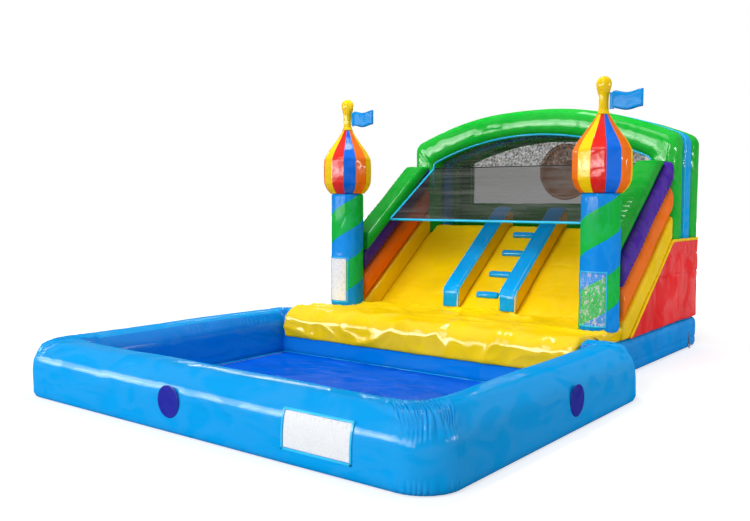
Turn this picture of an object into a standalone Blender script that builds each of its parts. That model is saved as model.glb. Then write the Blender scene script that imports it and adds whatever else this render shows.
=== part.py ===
"""Inflatable slide with a bathing pool: two lanes and a climb between them, two towers, a netted house.

Metres, +Z up. Every piece is laid out in a plan whose y = 0 is the outer face of the pool's front
wall and whose z = 0 is the ground. The empty "plan_origin" moves that plan so that the whole model
is centred on the world's origin.
"""

import math

import bmesh
import bpy
from mathutils import Matrix, Vector

# Clearance between pieces that touch, and the gap round a pin or a slider.
SEAM_GAP = 0.0003
RUNNING_GAP = 0.0008
CUT_MARGIN = 0.1  # how far a cutter runs past the wall it opens
OUTLINE_REACH = 0.48  # the share of an edge that one rounded corner may take
MITRE_LIMIT = 0.3  # the least cosine by which an offset path is stretched at a bend

# Pool: a closed ring of tube with a sheet floor.
POOL_WIDTH = 4.15
POOL_LENGTH = 3.16
POOL_WALL_WIDTH = 0.42
POOL_WALL_HEIGHT = 0.46
POOL_WALL_ROUNDING = 0.16
POOL_WALL_FOOT_ROUNDING = 0.04
POOL_CORNER_RADIUS = 0.26
POOL_WELL_CORNER = 0.25
POOL_REAR_CORNER = 0.03
POOL_FLOOR_THICKNESS = 0.016

# Slide module: the base mattress, the landing and the body above it.
MODULE_WIDTH = 3.30
BASE_HEIGHT = 0.341
BASE_WALL = 0.34
BASE_FLOOR = 0.07
BASE_ROUNDING = 0.07
MODULE_BACK = 5.99
LANDING_THICKNESS = 0.11
LANDING_OVERHANG_DROP = 0.26
LANDING_SKIN = 0.022
LANDING_SIDE_GAP = 0.035
LANDING_CREST_LEAD = 0.05
LANDING_FLAT_START = 0.20
LANDING_BEND_RADIUS = 0.20
SLIDE_SLOPE = 0.765
BED_THICKNESS = 0.16
BED_CREST_RISE = 0.10
BED_CREST_RADIUS = 0.11
BED_BACK = 5.40
DECK_THICKNESS = 0.125
PLATFORM_HEIGHT = 1.225
REAR_PANEL_THICKNESS = 0.12
BAFFLE_PLACES = (0.30, 0.62, 0.94)
BAFFLE_THICKNESS = 0.03
BAFFLE_SIDE_GAP = 0.025
BAFFLE_PORT_RADIUS = 0.09

# House: three arched ribs side by side over the platform.
HOUSE_FRONT = 5.10
WALL_WIDTH = 0.28
RIB_DEPTHS = (0.32, 0.27, 0.27)
RIB_ROUNDING = 0.085
POST_HEIGHT = 1.105
SHOULDER_RADIUS = 0.13
CROWN_RISE = 0.36
RIB_SHOULDER_THICKNESS = 0.25
RIB_CROWN_THICKNESS = 0.305
INNER_SHOULDER_RADIUS = 0.08
RIB_STEPS = 14
BACK_WALL_THICKNESS = 0.075
BACK_WALL_CORNER_GAP = 0.024
WINDOW_SILL_RISE = 0.375
WINDOW_SIDE_FRAME = 0.18
WINDOW_TOP_FRAME = 0.04
ROUND_PANEL_RADIUS = 0.34
ROUND_PANEL_X = 0.10
ROUND_PANEL_RISE = 0.76
ROUND_PANEL_THICKNESS = 0.008

# Side walls: four tubes each, stacked along the slide's slope, from the bed upwards.
# Each has a colour, a height square to the slope, a width, and an inset from the outer face.
WALL_TUBES = (
    ("yellow", 0.215, WALL_WIDTH, 0.0),
    ("orange", 0.260, WALL_WIDTH, 0.0),
    ("purple", 0.200, WALL_WIDTH, 0.0),
    ("green", 0.160, 0.26, 0.07),
)
TUBE_CORNER_SHARE = 0.38
TUBE_ROUNDING_SHARE = 0.90  # of the corner radius, so that the rounded rims never cross
TUBE_CEILING_RISE = 0.825

# Climb: two padded rails with a blue cover, and four bolsters to step on.
RAIL_WIDTH = 0.20
RAIL_RISE = 0.24
RAIL_CENTRES = (-0.42, 0.28)
RAIL_TOP_REACH = 0.20
RAIL_FOOT_AHEAD = 0.03
RAIL_FOOT_RADIUS = 0.12
RAIL_END_RADIUS = 0.07
RAIL_ROUNDING = 0.02
COVER_THICKNESS = 0.012
STEP_RUNS = (0.19, 0.46, 0.75, 1.01)
STEP_WIDTH = 0.27
STEP_RADIUS = 0.042
STEP_CENTRE = -0.07

# Nets: flat lattices of cord.
NET_CORD = 0.014
NET_THICKNESS = 0.007
CANOPY_CELLS = (18, 7)
CANOPY_LOW_REACH = 0.95
CANOPY_LOW_RISE = 0.185
CANOPY_HIGH_REACH = 0.02
CANOPY_HIGH_RISE = 0.81
ARCH_NET_CELLS = (18, 2)
ARCH_NET_DROP = 0.035
ARCH_NET_SETBACK = 0.12
WINDOW_CELLS = (16, 5)

# Towers.
TOWER_X = 1.485
TOWER_Y = 3.58
TOWER_RADIUS = 0.18
TOWER_HEIGHT = 1.25
TOWER_SIDES = 32
BULB_PROFILE = (
    (0.190, 0.000),
    (0.235, 0.055),
    (0.264, 0.115),
    (0.271, 0.205),
    (0.270, 0.300),
    (0.260, 0.395),
    (0.239, 0.480),
    (0.185, 0.555),
    (0.125, 0.625),
    (0.058, 0.700),
)
FINIAL_PROFILE = (
    (0.060, 0.000),
    (0.047, 0.035),
    (0.042, 0.090),
    (0.044, 0.150),
    (0.056, 0.205),
    (0.067, 0.260),
    (0.062, 0.300),
    (0.040, 0.330),
    (0.000, 0.340),
)
FLAG_LENGTH = 0.30
FLAG_HEIGHT = 0.175
FLAG_THICKNESS = 0.036
FLAG_WAVE = 0.012
FLAG_RISE = 0.030
FLAG_SEAM_GAP = 0.022
FLAG_ROUNDING = 0.0144
FLAG_HINGE_PIN = 0.004
TOWER_POCKET_WIDTH = 0.27
TOWER_POCKET_HEIGHT = 0.50
TOWER_POCKET_STRIPS = 12
TOWER_POCKET_FOOT = 0.05
POCKET_THICKNESS = 0.004
CARD_THICKNESS = 0.002
CARD_BORDER = 0.018

# Signs on the pool wall.
POOL_POCKET_X = 1.22
POOL_POCKET_WIDTH = 0.56
POOL_POCKET_LOW = 0.10
POOL_POCKET_HIGH = 0.36
POOL_POCKET_STRIPS = 12
PATCH_RADIUS = 0.115
PATCH_HEIGHT = 0.23
PATCH_FRONT_X = -0.14
PATCH_SIDE_Y = 1.80
PATCH_THICKNESS = 0.004

# Ground anchors at the two rear corners of the base.
ANCHOR_Y = 5.72
ANCHOR_HEIGHT = 0.064
RING_WIRE = 0.005
RING_WIDTH = 0.060
RING_REACH = 0.050
STRAP_WIDTH = 0.040
STRAP_PATCH = 0.13
STRAP_THICKNESS = 0.005
STRAP_EYE_WALL = 0.003

# Deflation zip across the rear panel, and the collar that takes the blower's hose.
ZIP_LENGTH = 1.10
ZIP_HEIGHT = 0.72
ZIP_TAPE_WIDTH = 0.05
ZIP_TAPE_THICKNESS = 0.003
ZIP_CHAIN_WIDTH = 0.008
ZIP_CHAIN_DEPTH = 0.004
ZIP_STOP_MARGIN = 0.03
SLIDER_LENGTH = 0.034
SLIDER_WIDTH = 0.022
SLIDER_DEPTH = 0.012
SLIDER_ROUNDING = 0.002
PULL_LENGTH = 0.045
PULL_WIDTH = 0.012
PULL_THICKNESS = 0.003
INLET_X = -0.95
INLET_HEIGHT = 0.17
INLET_BORE_RADIUS = 0.115
INLET_WALL = 0.012
INLET_LENGTH = 0.11
INLET_FLANGE = 0.035
INLET_FLANGE_THICKNESS = 0.010

PATCH_REACH = SEAM_GAP + PATCH_THICKNESS
POCKET_REACH = SEAM_GAP + CARD_THICKNESS + SEAM_GAP + POCKET_THICKNESS
TOTAL_LENGTH = POCKET_REACH + MODULE_BACK + INLET_LENGTH
PART_NAME = "inflatable_slide"

COLOURS = {
    "sky_blue": (0.010, 0.235, 0.760, 1.0),
    "deep_blue": (0.008, 0.110, 0.560, 1.0),
    "yellow": (0.930, 0.560, 0.010, 1.0),
    "orange": (0.880, 0.150, 0.020, 1.0),
    "red": (0.600, 0.035, 0.035, 1.0),
    "purple": (0.085, 0.025, 0.300, 1.0),
    "green": (0.010, 0.380, 0.030, 1.0),
    "net": (0.020, 0.022, 0.030, 1.0),
    "clear": (0.550, 0.700, 0.800, 1.0),
    "white": (0.800, 0.800, 0.790, 1.0),
    "navy": (0.020, 0.020, 0.140, 1.0),
    "brown": (0.110, 0.050, 0.035, 1.0),
    "webbing": (0.050, 0.060, 0.080, 1.0),
    "steel": (0.560, 0.560, 0.580, 1.0),
}
ROUGHNESS = {"net": 0.8, "webbing": 0.8, "steel": 0.3, "white": 0.5}


def clear_scene():
    for obj in list(bpy.data.objects):
        bpy.data.objects.remove(obj, do_unlink=True)


def new_collection(name):
    collection = bpy.data.collections.new(name)
    bpy.context.scene.collection.children.link(collection)
    return collection


clear_scene()
PARTS = new_collection(PART_NAME)
HELPERS = new_collection(PART_NAME + "_cutters")
PLAN = bpy.data.objects.new("plan_origin", None)
PLAN.location = (-PATCH_REACH / 2, POCKET_REACH - TOTAL_LENGTH / 2, 0)
PARTS.objects.link(PLAN)


def material_of(name, colour):
    material = bpy.data.materials.new(name + "_" + colour)
    material.use_nodes = True
    shader = material.node_tree.nodes["Principled BSDF"]
    shader.inputs["Base Color"].default_value = COLOURS[colour]
    shader.inputs["Roughness"].default_value = ROUGHNESS.get(colour, 0.28)
    shader.inputs["Metallic"].default_value = 1.0 if colour == "steel" else 0.0
    return material


def add_part(obj, colour, parent=None):
    """Names its material, files the object with the parts and hangs it on the plan."""
    for collection in list(obj.users_collection):
        collection.objects.unlink(obj)
    PARTS.objects.link(obj)
    obj.parent = parent or PLAN
    obj.data.materials.clear()
    obj.data.materials.append(material_of(obj.name, colour))
    return obj


def add_cutter(obj):
    for collection in list(obj.users_collection):
        collection.objects.unlink(obj)
    HELPERS.objects.link(obj)
    obj.parent = PLAN
    obj.hide_render = True
    obj.display_type = "WIRE"
    return obj


def boolean(obj, cutter, operation="DIFFERENCE"):
    modifier = obj.modifiers.new(operation.lower() + "_" + cutter.name, "BOOLEAN")
    modifier.operation = operation
    modifier.solver = "EXACT"
    modifier.object = cutter


def arc(centre, radius, start, end, steps):
    """Points on a circle from one angle to another, in degrees, ends included."""
    points = []
    for i in range(steps + 1):
        angle = math.radians(start + (end - start) * i / steps)
        points.append((centre[0] + radius * math.cos(angle), centre[1] + radius * math.sin(angle)))
    return points


def rounded_outline(corners, steps=3):
    """An outline through (x, y, radius) corners, each turned into an arc of its radius."""
    outline = []
    count = len(corners)
    for i, (x, y, radius) in enumerate(corners):
        here = Vector((x, y))
        if not radius:
            outline.append((x, y))
            continue
        before = Vector(corners[i - 1][:2]) - here
        after = Vector(corners[(i + 1) % count][:2]) - here
        half = before.angle(after) / 2
        longest = OUTLINE_REACH * min(before.length, after.length)
        reach = min(radius / math.tan(half), longest)
        radius = reach * math.tan(half)
        before.normalize()
        after.normalize()
        centre = here + (before + after).normalized() * (radius / math.sin(half))
        first = here + before * reach - centre
        last = here + after * reach - centre
        turn = first.angle_signed(last)
        for step in range(steps + 1):
            angle = -turn * step / steps
            outline.append(tuple(centre + Matrix.Rotation(angle, 2) @ first))
    return outline


def rounded_rectangle(x0, x1, y0, y1, radius, steps=3):
    corners = [(x0, y0, radius), (x1, y0, radius), (x1, y1, radius), (x0, y1, radius)]
    return rounded_outline(corners, steps)


PLANES = {
    "XY": (0, 0, 0),
    "XZ": (math.pi / 2, 0, 0),
    "YZ": (math.pi / 2, 0, math.pi / 2),
}


def outline_solid(name, outlines, plane, centre, width, rounding=0.0, rounding_steps=2):
    """Outlines in a plane, the first the rim and the rest holes, thickened to width.

    Centre is where the middle of the thickness lies along the axis that the plane leaves out.
    Rounding softens the two rims without moving the outline.
    """
    curve = bpy.data.curves.new(name, "CURVE")
    curve.dimensions = "2D"
    curve.fill_mode = "BOTH"
    curve.extrude = width / 2 - rounding
    curve.bevel_depth = rounding
    curve.bevel_resolution = rounding_steps
    curve.offset = -rounding
    for outline in outlines:
        spline = curve.splines.new("POLY")
        spline.points.add(len(outline) - 1)
        for point, (u, v) in zip(spline.points, outline):
            point.co = (u, v, 0, 1)
        spline.use_cyclic_u = True
    obj = bpy.data.objects.new(name, curve)
    bpy.context.scene.collection.objects.link(obj)
    obj.rotation_euler = PLANES[plane]
    obj.location = {"XY": (0, 0, centre), "XZ": (0, centre, 0), "YZ": (centre, 0, 0)}[plane]
    return obj


def as_mesh(curve_object):
    """The same solid as a welded mesh object, which a Boolean can use."""
    bpy.context.view_layer.update()
    graph = bpy.context.evaluated_depsgraph_get()
    mesh = bpy.data.meshes.new_from_object(curve_object.evaluated_get(graph))
    name = curve_object.name
    place = curve_object.matrix_world.copy()
    bpy.data.objects.remove(curve_object, do_unlink=True)
    shape = bmesh.new()
    shape.from_mesh(mesh)
    bmesh.ops.remove_doubles(shape, verts=shape.verts, dist=0.00001)
    bmesh.ops.recalc_face_normals(shape, faces=shape.faces)
    shape.to_mesh(mesh)
    shape.free()
    obj = bpy.data.objects.new(name, mesh)
    bpy.context.scene.collection.objects.link(obj)
    obj.matrix_world = place
    return obj


def box(name, low, high):
    """A cuboid between two corners, with its scale applied."""
    bpy.ops.mesh.primitive_cube_add(size=1)
    obj = bpy.context.active_object
    obj.name = name
    size = [b - a for a, b in zip(low, high)]
    obj.data.transform(Matrix.Diagonal((*size, 1)))
    obj.location = [(a + b) / 2 for a, b in zip(low, high)]
    return obj


def bevel(obj, width, segments=2):
    modifier = obj.modifiers.new("soft_edges", "BEVEL")
    modifier.width = width
    modifier.segments = segments
    modifier.limit_method = "ANGLE"
    return obj


def cylinder(name, radius, low, high, axis, sides=24):
    """A round bar between two points on a line along the axis X, Y or Z."""
    low, high = Vector(low), Vector(high)
    bpy.ops.mesh.primitive_cylinder_add(radius=radius, depth=(high - low).length, vertices=sides)
    obj = bpy.context.active_object
    obj.name = name
    turn = {"X": (math.pi / 2, "Y"), "Y": (math.pi / 2, "X"), "Z": (0, "X")}[axis]
    obj.data.transform(Matrix.Rotation(turn[0], 4, turn[1]))
    obj.location = (low + high) / 2
    return obj


def smooth(obj, angle=40):
    obj.data.shade_smooth()
    obj.data.set_sharp_from_angle(angle=math.radians(angle))
    return obj


def turned(name, profile, location, steps):
    """A solid of revolution about Z, from (radius, height) points listed from the foot up."""
    mesh = bpy.data.meshes.new(name)
    points = [(radius, 0, height) for radius, height in reversed(profile)]
    if profile[0][0] > 0:
        points.append((0, 0, profile[0][1]))
    if profile[-1][0] > 0:
        points.insert(0, (0, 0, profile[-1][1]))
    edges = [(i, i + 1) for i in range(len(points) - 1)]
    mesh.from_pydata(points, edges, [])
    obj = bpy.data.objects.new(name, mesh)
    bpy.context.scene.collection.objects.link(obj)
    obj.location = location
    screw = obj.modifiers.new("turn", "SCREW")
    screw.steps = steps
    screw.render_steps = steps
    screw.use_merge_vertices = True
    screw.merge_threshold = 0.00005
    screw.use_smooth_shade = True
    return obj


# Places worked out from the sizes above.
HALF_MODULE = MODULE_WIDTH / 2
LANE_SIDE = HALF_MODULE - WALL_WIDTH
BASE_FRONT = POOL_LENGTH + SEAM_GAP
BASE_TOP = BASE_HEIGHT + SEAM_GAP
LANDING_TOP = BASE_TOP + LANDING_THICKNESS
SLOPE_ANGLE = math.atan(SLIDE_SLOPE)
BED_FOOT = HOUSE_FRONT - (PLATFORM_HEIGHT - LANDING_TOP) / SLIDE_SLOPE
BED_DROP = BED_THICKNESS / math.cos(SLOPE_ANGLE)
CREST_HEIGHT = PLATFORM_HEIGHT + BED_CREST_RISE
DECK_UNDERSIDE = PLATFORM_HEIGHT - DECK_THICKNESS
WALL_START = TOWER_Y + TOWER_RADIUS + SEAM_GAP
BULB_FOOT = LANDING_TOP + SEAM_GAP + TOWER_HEIGHT + SEAM_GAP
FINIAL_FOOT = BULB_FOOT + BULB_PROFILE[-1][1] + SEAM_GAP
SHOULDER_HEIGHT = PLATFORM_HEIGHT + POST_HEIGHT
CROWN_HEIGHT = SHOULDER_HEIGHT + CROWN_RISE
RIB_INNER_SHOULDER = SHOULDER_HEIGHT - RIB_SHOULDER_THICKNESS
RIB_INNER_CROWN = CROWN_HEIGHT - RIB_CROWN_THICKNESS
ARCH_NET_LOW = RIB_INNER_SHOULDER - ARCH_NET_DROP
WINDOW_SILL = PLATFORM_HEIGHT + WINDOW_SILL_RISE
ROUND_PANEL_HEIGHT = PLATFORM_HEIGHT + ROUND_PANEL_RISE
TUBE_CEILING = PLATFORM_HEIGHT + TUBE_CEILING_RISE
CANOPY_LOW = (HOUSE_FRONT - CANOPY_LOW_REACH, PLATFORM_HEIGHT + CANOPY_LOW_RISE)
CANOPY_HIGH = (HOUSE_FRONT - CANOPY_HIGH_REACH, PLATFORM_HEIGHT + CANOPY_HIGH_RISE)
SIDES = (("left", -1), ("right", 1))


def bed_height(y):
    """Height of the slide's straight slope, which runs down from the platform's front edge."""
    return PLATFORM_HEIGHT + SLIDE_SLOPE * (y - HOUSE_FRONT)


def bed_place(height):
    """The y at which the slope has this height."""
    return HOUSE_FRONT + (height - PLATFORM_HEIGHT) / SLIDE_SLOPE


def arch_height(x, half_span, spring, crown):
    """Height of a circular arch that springs at x = +-half_span and is highest at x = 0."""
    rise = crown - spring
    radius = (half_span ** 2 + rise ** 2) / (2 * rise)
    return crown - radius + math.sqrt(radius ** 2 - x ** 2)


def arch_points(half_span, spring, crown, steps):
    """Points along that arch from -X to +X, without its two ends."""
    places = [half_span * (2 * i / steps - 1) for i in range(1, steps)]
    return [(x, arch_height(x, half_span, spring, crown)) for x in places]


def pool_wall_inset(height):
    """How far the pool wall's face lies behind its widest point at this height."""
    below = height < POOL_WALL_HEIGHT / 2
    radius = POOL_WALL_FOOT_ROUNDING if below else POOL_WALL_ROUNDING
    nearest = min(height, POOL_WALL_HEIGHT - height)
    if nearest >= radius:
        return 0.0
    return radius - math.sqrt(radius ** 2 - (radius - nearest) ** 2)


def ring_solid(name, inner, outer, section):
    """A closed tube between two outlines of equally many points.

    Each point of its section has a share of the way from the inner to the outer outline, and a height.
    """
    shape = bmesh.new()
    rows = []
    for share, height in section:
        places = [Vector(a).lerp(Vector(b), share) for a, b in zip(inner, outer)]
        rows.append([shape.verts.new((*place, height)) for place in places])
    for row, after in zip(rows, rows[1:] + rows[:1]):
        for i in range(len(row)):
            shape.faces.new((row[i - 1], row[i], after[i], after[i - 1]))
    bmesh.ops.recalc_face_normals(shape, faces=shape.faces)
    mesh = bpy.data.meshes.new(name)
    shape.to_mesh(mesh)
    shape.free()
    obj = bpy.data.objects.new(name, mesh)
    bpy.context.scene.collection.objects.link(obj)
    return obj


def build_pool():
    outer = POOL_WIDTH / 2
    inner = outer - POOL_WALL_WIDTH
    rim = rounded_rectangle(-outer, outer, 0, POOL_LENGTH, POOL_CORNER_RADIUS, 6)
    near, far = POOL_WALL_WIDTH, POOL_LENGTH - POOL_WALL_WIDTH
    well = rounded_outline([
        (-inner, near, POOL_WELL_CORNER), (inner, near, POOL_WELL_CORNER),
        (inner, far, POOL_REAR_CORNER), (-inner, far, POOL_REAR_CORNER)], 6)
    section = rounded_outline([
        (0, 0, POOL_WALL_FOOT_ROUNDING), (POOL_WALL_WIDTH, 0, POOL_WALL_FOOT_ROUNDING),
        (POOL_WALL_WIDTH, POOL_WALL_HEIGHT, POOL_WALL_ROUNDING),
        (0, POOL_WALL_HEIGHT, POOL_WALL_ROUNDING)], 6)
    shares = [(across / POOL_WALL_WIDTH, height) for across, height in section]
    add_part(smooth(ring_solid("pool_wall", well, rim, shares)), "sky_blue")
    spread = pool_wall_inset(POOL_FLOOR_THICKNESS) - SEAM_GAP
    reach = inner + spread
    near, far = near - spread, far + spread
    floor = rounded_outline([
        (-reach, near, POOL_WELL_CORNER + spread), (reach, near, POOL_WELL_CORNER + spread),
        (reach, far, POOL_REAR_CORNER + spread), (-reach, far, POOL_REAR_CORNER + spread)], 6)
    middle = POOL_FLOOR_THICKNESS / 2
    add_part(
        outline_solid("pool_floor", [floor], "XY", middle, POOL_FLOOR_THICKNESS), "deep_blue")


def wall_band(heights, inner_offset, thickness):
    """A strip in the YZ plane that lies on the front wall's outer face, bent at these heights."""
    near = [(pool_wall_inset(z) - inner_offset, z) for z in heights]
    far = [(pool_wall_inset(z) - inner_offset - thickness, z) for z in heights]
    return near + far[::-1]


def build_pool_signs():
    rise = (POOL_POCKET_HIGH - POOL_POCKET_LOW) / POOL_POCKET_STRIPS
    heights = [POOL_POCKET_LOW + rise * i for i in range(POOL_POCKET_STRIPS + 1)]
    card = wall_band(heights[1:-1], SEAM_GAP, CARD_THICKNESS)
    card_width = POOL_POCKET_WIDTH - 2 * CARD_BORDER
    add_part(outline_solid("pool_sign_card", [card], "YZ", POOL_POCKET_X, card_width), "white")
    pocket = wall_band(heights, POCKET_REACH - POCKET_THICKNESS, POCKET_THICKNESS)
    add_part(
        outline_solid("pool_sign_pocket", [pocket], "YZ", POOL_POCKET_X, POOL_POCKET_WIDTH),
        "clear")
    front = cylinder(
        "pool_front_patch", PATCH_RADIUS, (PATCH_FRONT_X, -PATCH_REACH, PATCH_HEIGHT),
        (PATCH_FRONT_X, -SEAM_GAP, PATCH_HEIGHT), "Y", 32)
    add_part(front, "navy")
    face = POOL_WIDTH / 2
    side = cylinder(
        "pool_side_patch", PATCH_RADIUS, (face + SEAM_GAP, PATCH_SIDE_Y, PATCH_HEIGHT),
        (face + PATCH_REACH, PATCH_SIDE_Y, PATCH_HEIGHT), "X", 32)
    add_part(side, "navy")


def build_base():
    """The mattress under the slide: a tube all round, and a thinner floor in the middle."""
    rim = rounded_rectangle(-HALF_MODULE, HALF_MODULE, BASE_FRONT, MODULE_BACK, BASE_ROUNDING)
    base = as_mesh(outline_solid(
        "base_mattress", [rim], "XY", BASE_HEIGHT / 2, BASE_HEIGHT, BASE_ROUNDING / 2, 1))
    well = box(
        "base_well", (-HALF_MODULE + BASE_WALL, BASE_FRONT + BASE_WALL, BASE_FLOOR),
        (HALF_MODULE - BASE_WALL, MODULE_BACK - BASE_WALL, BASE_HEIGHT + CUT_MARGIN))
    port = cylinder(
        "inlet_port", INLET_BORE_RADIUS,
        (INLET_X, MODULE_BACK - BASE_WALL - CUT_MARGIN, INLET_HEIGHT),
        (INLET_X, MODULE_BACK + CUT_MARGIN, INLET_HEIGHT), "Y")
    for cutter in (well, port):
        add_cutter(cutter)
        boolean(base, cutter)
    add_part(base, "sky_blue")


def build_landing():
    """The yellow pad at the slide's foot, whose front edge hangs over the pool's rear wall."""
    top = LANDING_TOP
    wall_front = POOL_LENGTH - POOL_WALL_WIDTH
    lap = POOL_WALL_HEIGHT + SEAM_GAP
    front = wall_front - SEAM_GAP - LANDING_SKIN
    drop = top - LANDING_OVERHANG_DROP
    crown = lap + LANDING_SKIN
    radius = POOL_WALL_ROUNDING
    corners = [
        (BED_FOOT - SEAM_GAP, BASE_TOP, 0),
        (BED_FOOT - SEAM_GAP, top, 0),
        (BASE_FRONT + LANDING_FLAT_START, top, LANDING_BEND_RADIUS),
        (BASE_FRONT - LANDING_CREST_LEAD, crown, LANDING_BEND_RADIUS),
        (front, crown, radius + LANDING_SKIN),
        (front, drop, 0),
        (wall_front - SEAM_GAP, drop, 0),
        (wall_front - SEAM_GAP, lap, radius),
        (BASE_FRONT, lap, 0),
        (BASE_FRONT, BASE_TOP, 0),
    ]
    width = 2 * (POOL_WIDTH / 2 - POOL_WALL_WIDTH - LANDING_SIDE_GAP)
    pad = as_mesh(outline_solid("landing_pad", [rounded_outline(corners, 6)], "YZ", 0, width))
    for side, sign in SIDES:
        inner, outer = LANE_SIDE - SEAM_GAP, width / 2 + CUT_MARGIN
        middle, half = sign * (inner + outer) / 2, (outer - inner) / 2
        corner = box(
            side + "_landing_corner", (middle - half, WALL_START - SEAM_GAP, BASE_TOP - CUT_MARGIN),
            (middle + half, BED_FOOT + CUT_MARGIN, top + CUT_MARGIN))
        add_cutter(corner)
        boolean(pad, corner)
    add_part(pad, "yellow")


def build_bed():
    low = BASE_TOP
    corners = [
        (BED_FOOT, LANDING_TOP, 0),
        (bed_place(CREST_HEIGHT), CREST_HEIGHT, BED_CREST_RADIUS),
        (BED_BACK, CREST_HEIGHT, BED_CREST_RADIUS / 2),
        (BED_BACK, DECK_UNDERSIDE, 0),
        (bed_place(DECK_UNDERSIDE + BED_DROP), DECK_UNDERSIDE, 0),
        (bed_place(low + BED_DROP), low, 0),
        (BED_FOOT, low, 0),
    ]
    width = 2 * (LANE_SIDE - SEAM_GAP)
    bed = outline_solid("slide_bed", [rounded_outline(corners)], "YZ", 0, width)
    add_part(bed, "yellow")
    deck = box(
        "platform_deck", (-width / 2, BED_BACK + SEAM_GAP, DECK_UNDERSIDE),
        (width / 2, MODULE_BACK, PLATFORM_HEIGHT))
    add_part(deck, "yellow")


def build_panels():
    """The red outer sides of the body, the rear panel between them, and the webs inside."""
    outline = [
        (bed_place(BASE_TOP), BASE_TOP),
        (HOUSE_FRONT, PLATFORM_HEIGHT),
        (MODULE_BACK, PLATFORM_HEIGHT),
        (MODULE_BACK, BASE_TOP),
    ]
    for side, sign in SIDES:
        middle = sign * (HALF_MODULE - WALL_WIDTH / 2)
        add_part(
            outline_solid(side + "_side_panel", [outline], "YZ", middle, WALL_WIDTH), "red")
    reach = LANE_SIDE - SEAM_GAP
    rear = box(
        "rear_panel", (-reach, MODULE_BACK - REAR_PANEL_THICKNESS, BASE_TOP),
        (reach, MODULE_BACK, DECK_UNDERSIDE - SEAM_GAP))
    add_part(rear, "red")
    reach = HALF_MODULE - BASE_WALL - BAFFLE_SIDE_GAP
    for number, place in enumerate(BAFFLE_PLACES, 1):
        y = BED_FOOT + place * (BED_BACK - BED_FOOT)
        front, back = y - BAFFLE_THICKNESS / 2, y + BAFFLE_THICKNESS / 2
        top = min(bed_height(front) - BED_DROP, DECK_UNDERSIDE) - SEAM_GAP
        web = box(
            f"inner_baffle_{number}", (-reach, front, BASE_FLOOR + SEAM_GAP), (reach, back, top))
        for port_side in (-1, 1):
            x = port_side * LANE_SIDE / 2
            z = (BASE_FLOOR + top) / 2
            port = cylinder(
                f"baffle_port_{number}_{port_side}", BAFFLE_PORT_RADIUS,
                (x, y - BAFFLE_THICKNESS, z), (x, y + BAFFLE_THICKNESS, z), "Y", 16)
            add_cutter(port)
            boolean(web, port)
        add_part(web, "webbing")


def clipped(polygon, axis, limit, keep_below):
    """The part of a convex polygon on one side of a straight line along an axis."""
    kept = []
    for here, after in zip(polygon, polygon[1:] + polygon[:1]):
        inside = (here[axis] <= limit) == keep_below
        after_inside = (after[axis] <= limit) == keep_below
        if inside:
            kept.append(here)
        if inside != after_inside:
            share = (limit - here[axis]) / (after[axis] - here[axis])
            kept.append(tuple(a + share * (b - a) for a, b in zip(here, after)))
    return kept


def largest_corner_radius(polygon):
    """The largest radius that rounded_outline can give every corner of this polygon."""
    limits = []
    for i, point in enumerate(polygon):
        here = Vector(point)
        before = Vector(polygon[i - 1]) - here
        after = Vector(polygon[(i + 1) % len(polygon)]) - here
        reach = OUTLINE_REACH * min(before.length, after.length)
        limits.append(reach * math.tan(before.angle(after) / 2))
    return min(limits)


def build_side_walls():
    """Four coloured tubes a side, one over the other, from the towers up to the house.

    The lowest one goes down to the ground frame, beside the landing pad.
    """
    floor = 0.0
    for colour, height, width, inset in WALL_TUBES:
        rise = height / math.cos(SLOPE_ANGLE)
        back = HOUSE_FRONT - SEAM_GAP
        band = [
            (WALL_START, bed_height(WALL_START) + floor),
            (back, bed_height(back) + floor),
            (back, bed_height(back) + floor + rise - 2 * SEAM_GAP),
            (WALL_START, bed_height(WALL_START) + floor + rise - 2 * SEAM_GAP),
        ]
        lift = [(y, z + 2 * SEAM_GAP) for y, z in band]
        shape = clipped(lift, 1, TUBE_CEILING, True)
        shape = clipped(shape, 1, BASE_TOP + SEAM_GAP, False)
        radius = min(TUBE_CORNER_SHARE * height, largest_corner_radius(shape))
        rounding = TUBE_ROUNDING_SHARE * radius
        corners = [(y, z, radius) for y, z in shape]
        outline = rounded_outline(corners, 4)
        for side, sign in SIDES:
            middle = sign * (HALF_MODULE - inset - width / 2)
            tube = outline_solid(
                f"{side}_{colour}_tube", [outline], "YZ", middle, width, rounding, 2)
            add_part(tube, colour)
        floor += rise


def rib_outline(reach, foot, spring, crown, shoulder):
    """An arch on two straight posts: the rim of one side of an upside-down U."""
    over = [(x, z, 0) for x, z in arch_points(reach, spring, crown, RIB_STEPS)]
    return [(-reach, foot, 0), (-reach, spring, shoulder)] + over + [
        (reach, spring, shoulder), (reach, foot, 0)]


def build_ribs():
    y = HOUSE_FRONT
    foot = PLATFORM_HEIGHT + SEAM_GAP
    outer = rib_outline(HALF_MODULE, foot, SHOULDER_HEIGHT, CROWN_HEIGHT, SHOULDER_RADIUS)
    inner = rib_outline(
        LANE_SIDE, foot, RIB_INNER_SHOULDER, RIB_INNER_CROWN, INNER_SHOULDER_RADIUS)
    outline = rounded_outline(outer + inner[::-1])
    names = (("front_rib", "green"), ("middle_rib", "sky_blue"), ("rear_rib", "green"))
    for (name, colour), depth in zip(names, RIB_DEPTHS):
        middle = y + depth / 2
        rib = outline_solid(name, [outline], "XZ", middle, depth - SEAM_GAP, RIB_ROUNDING)
        add_part(rib, colour)
        y += depth


REAR_RIB_MIDDLE = HOUSE_FRONT + sum(RIB_DEPTHS) - RIB_DEPTHS[2] / 2


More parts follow.
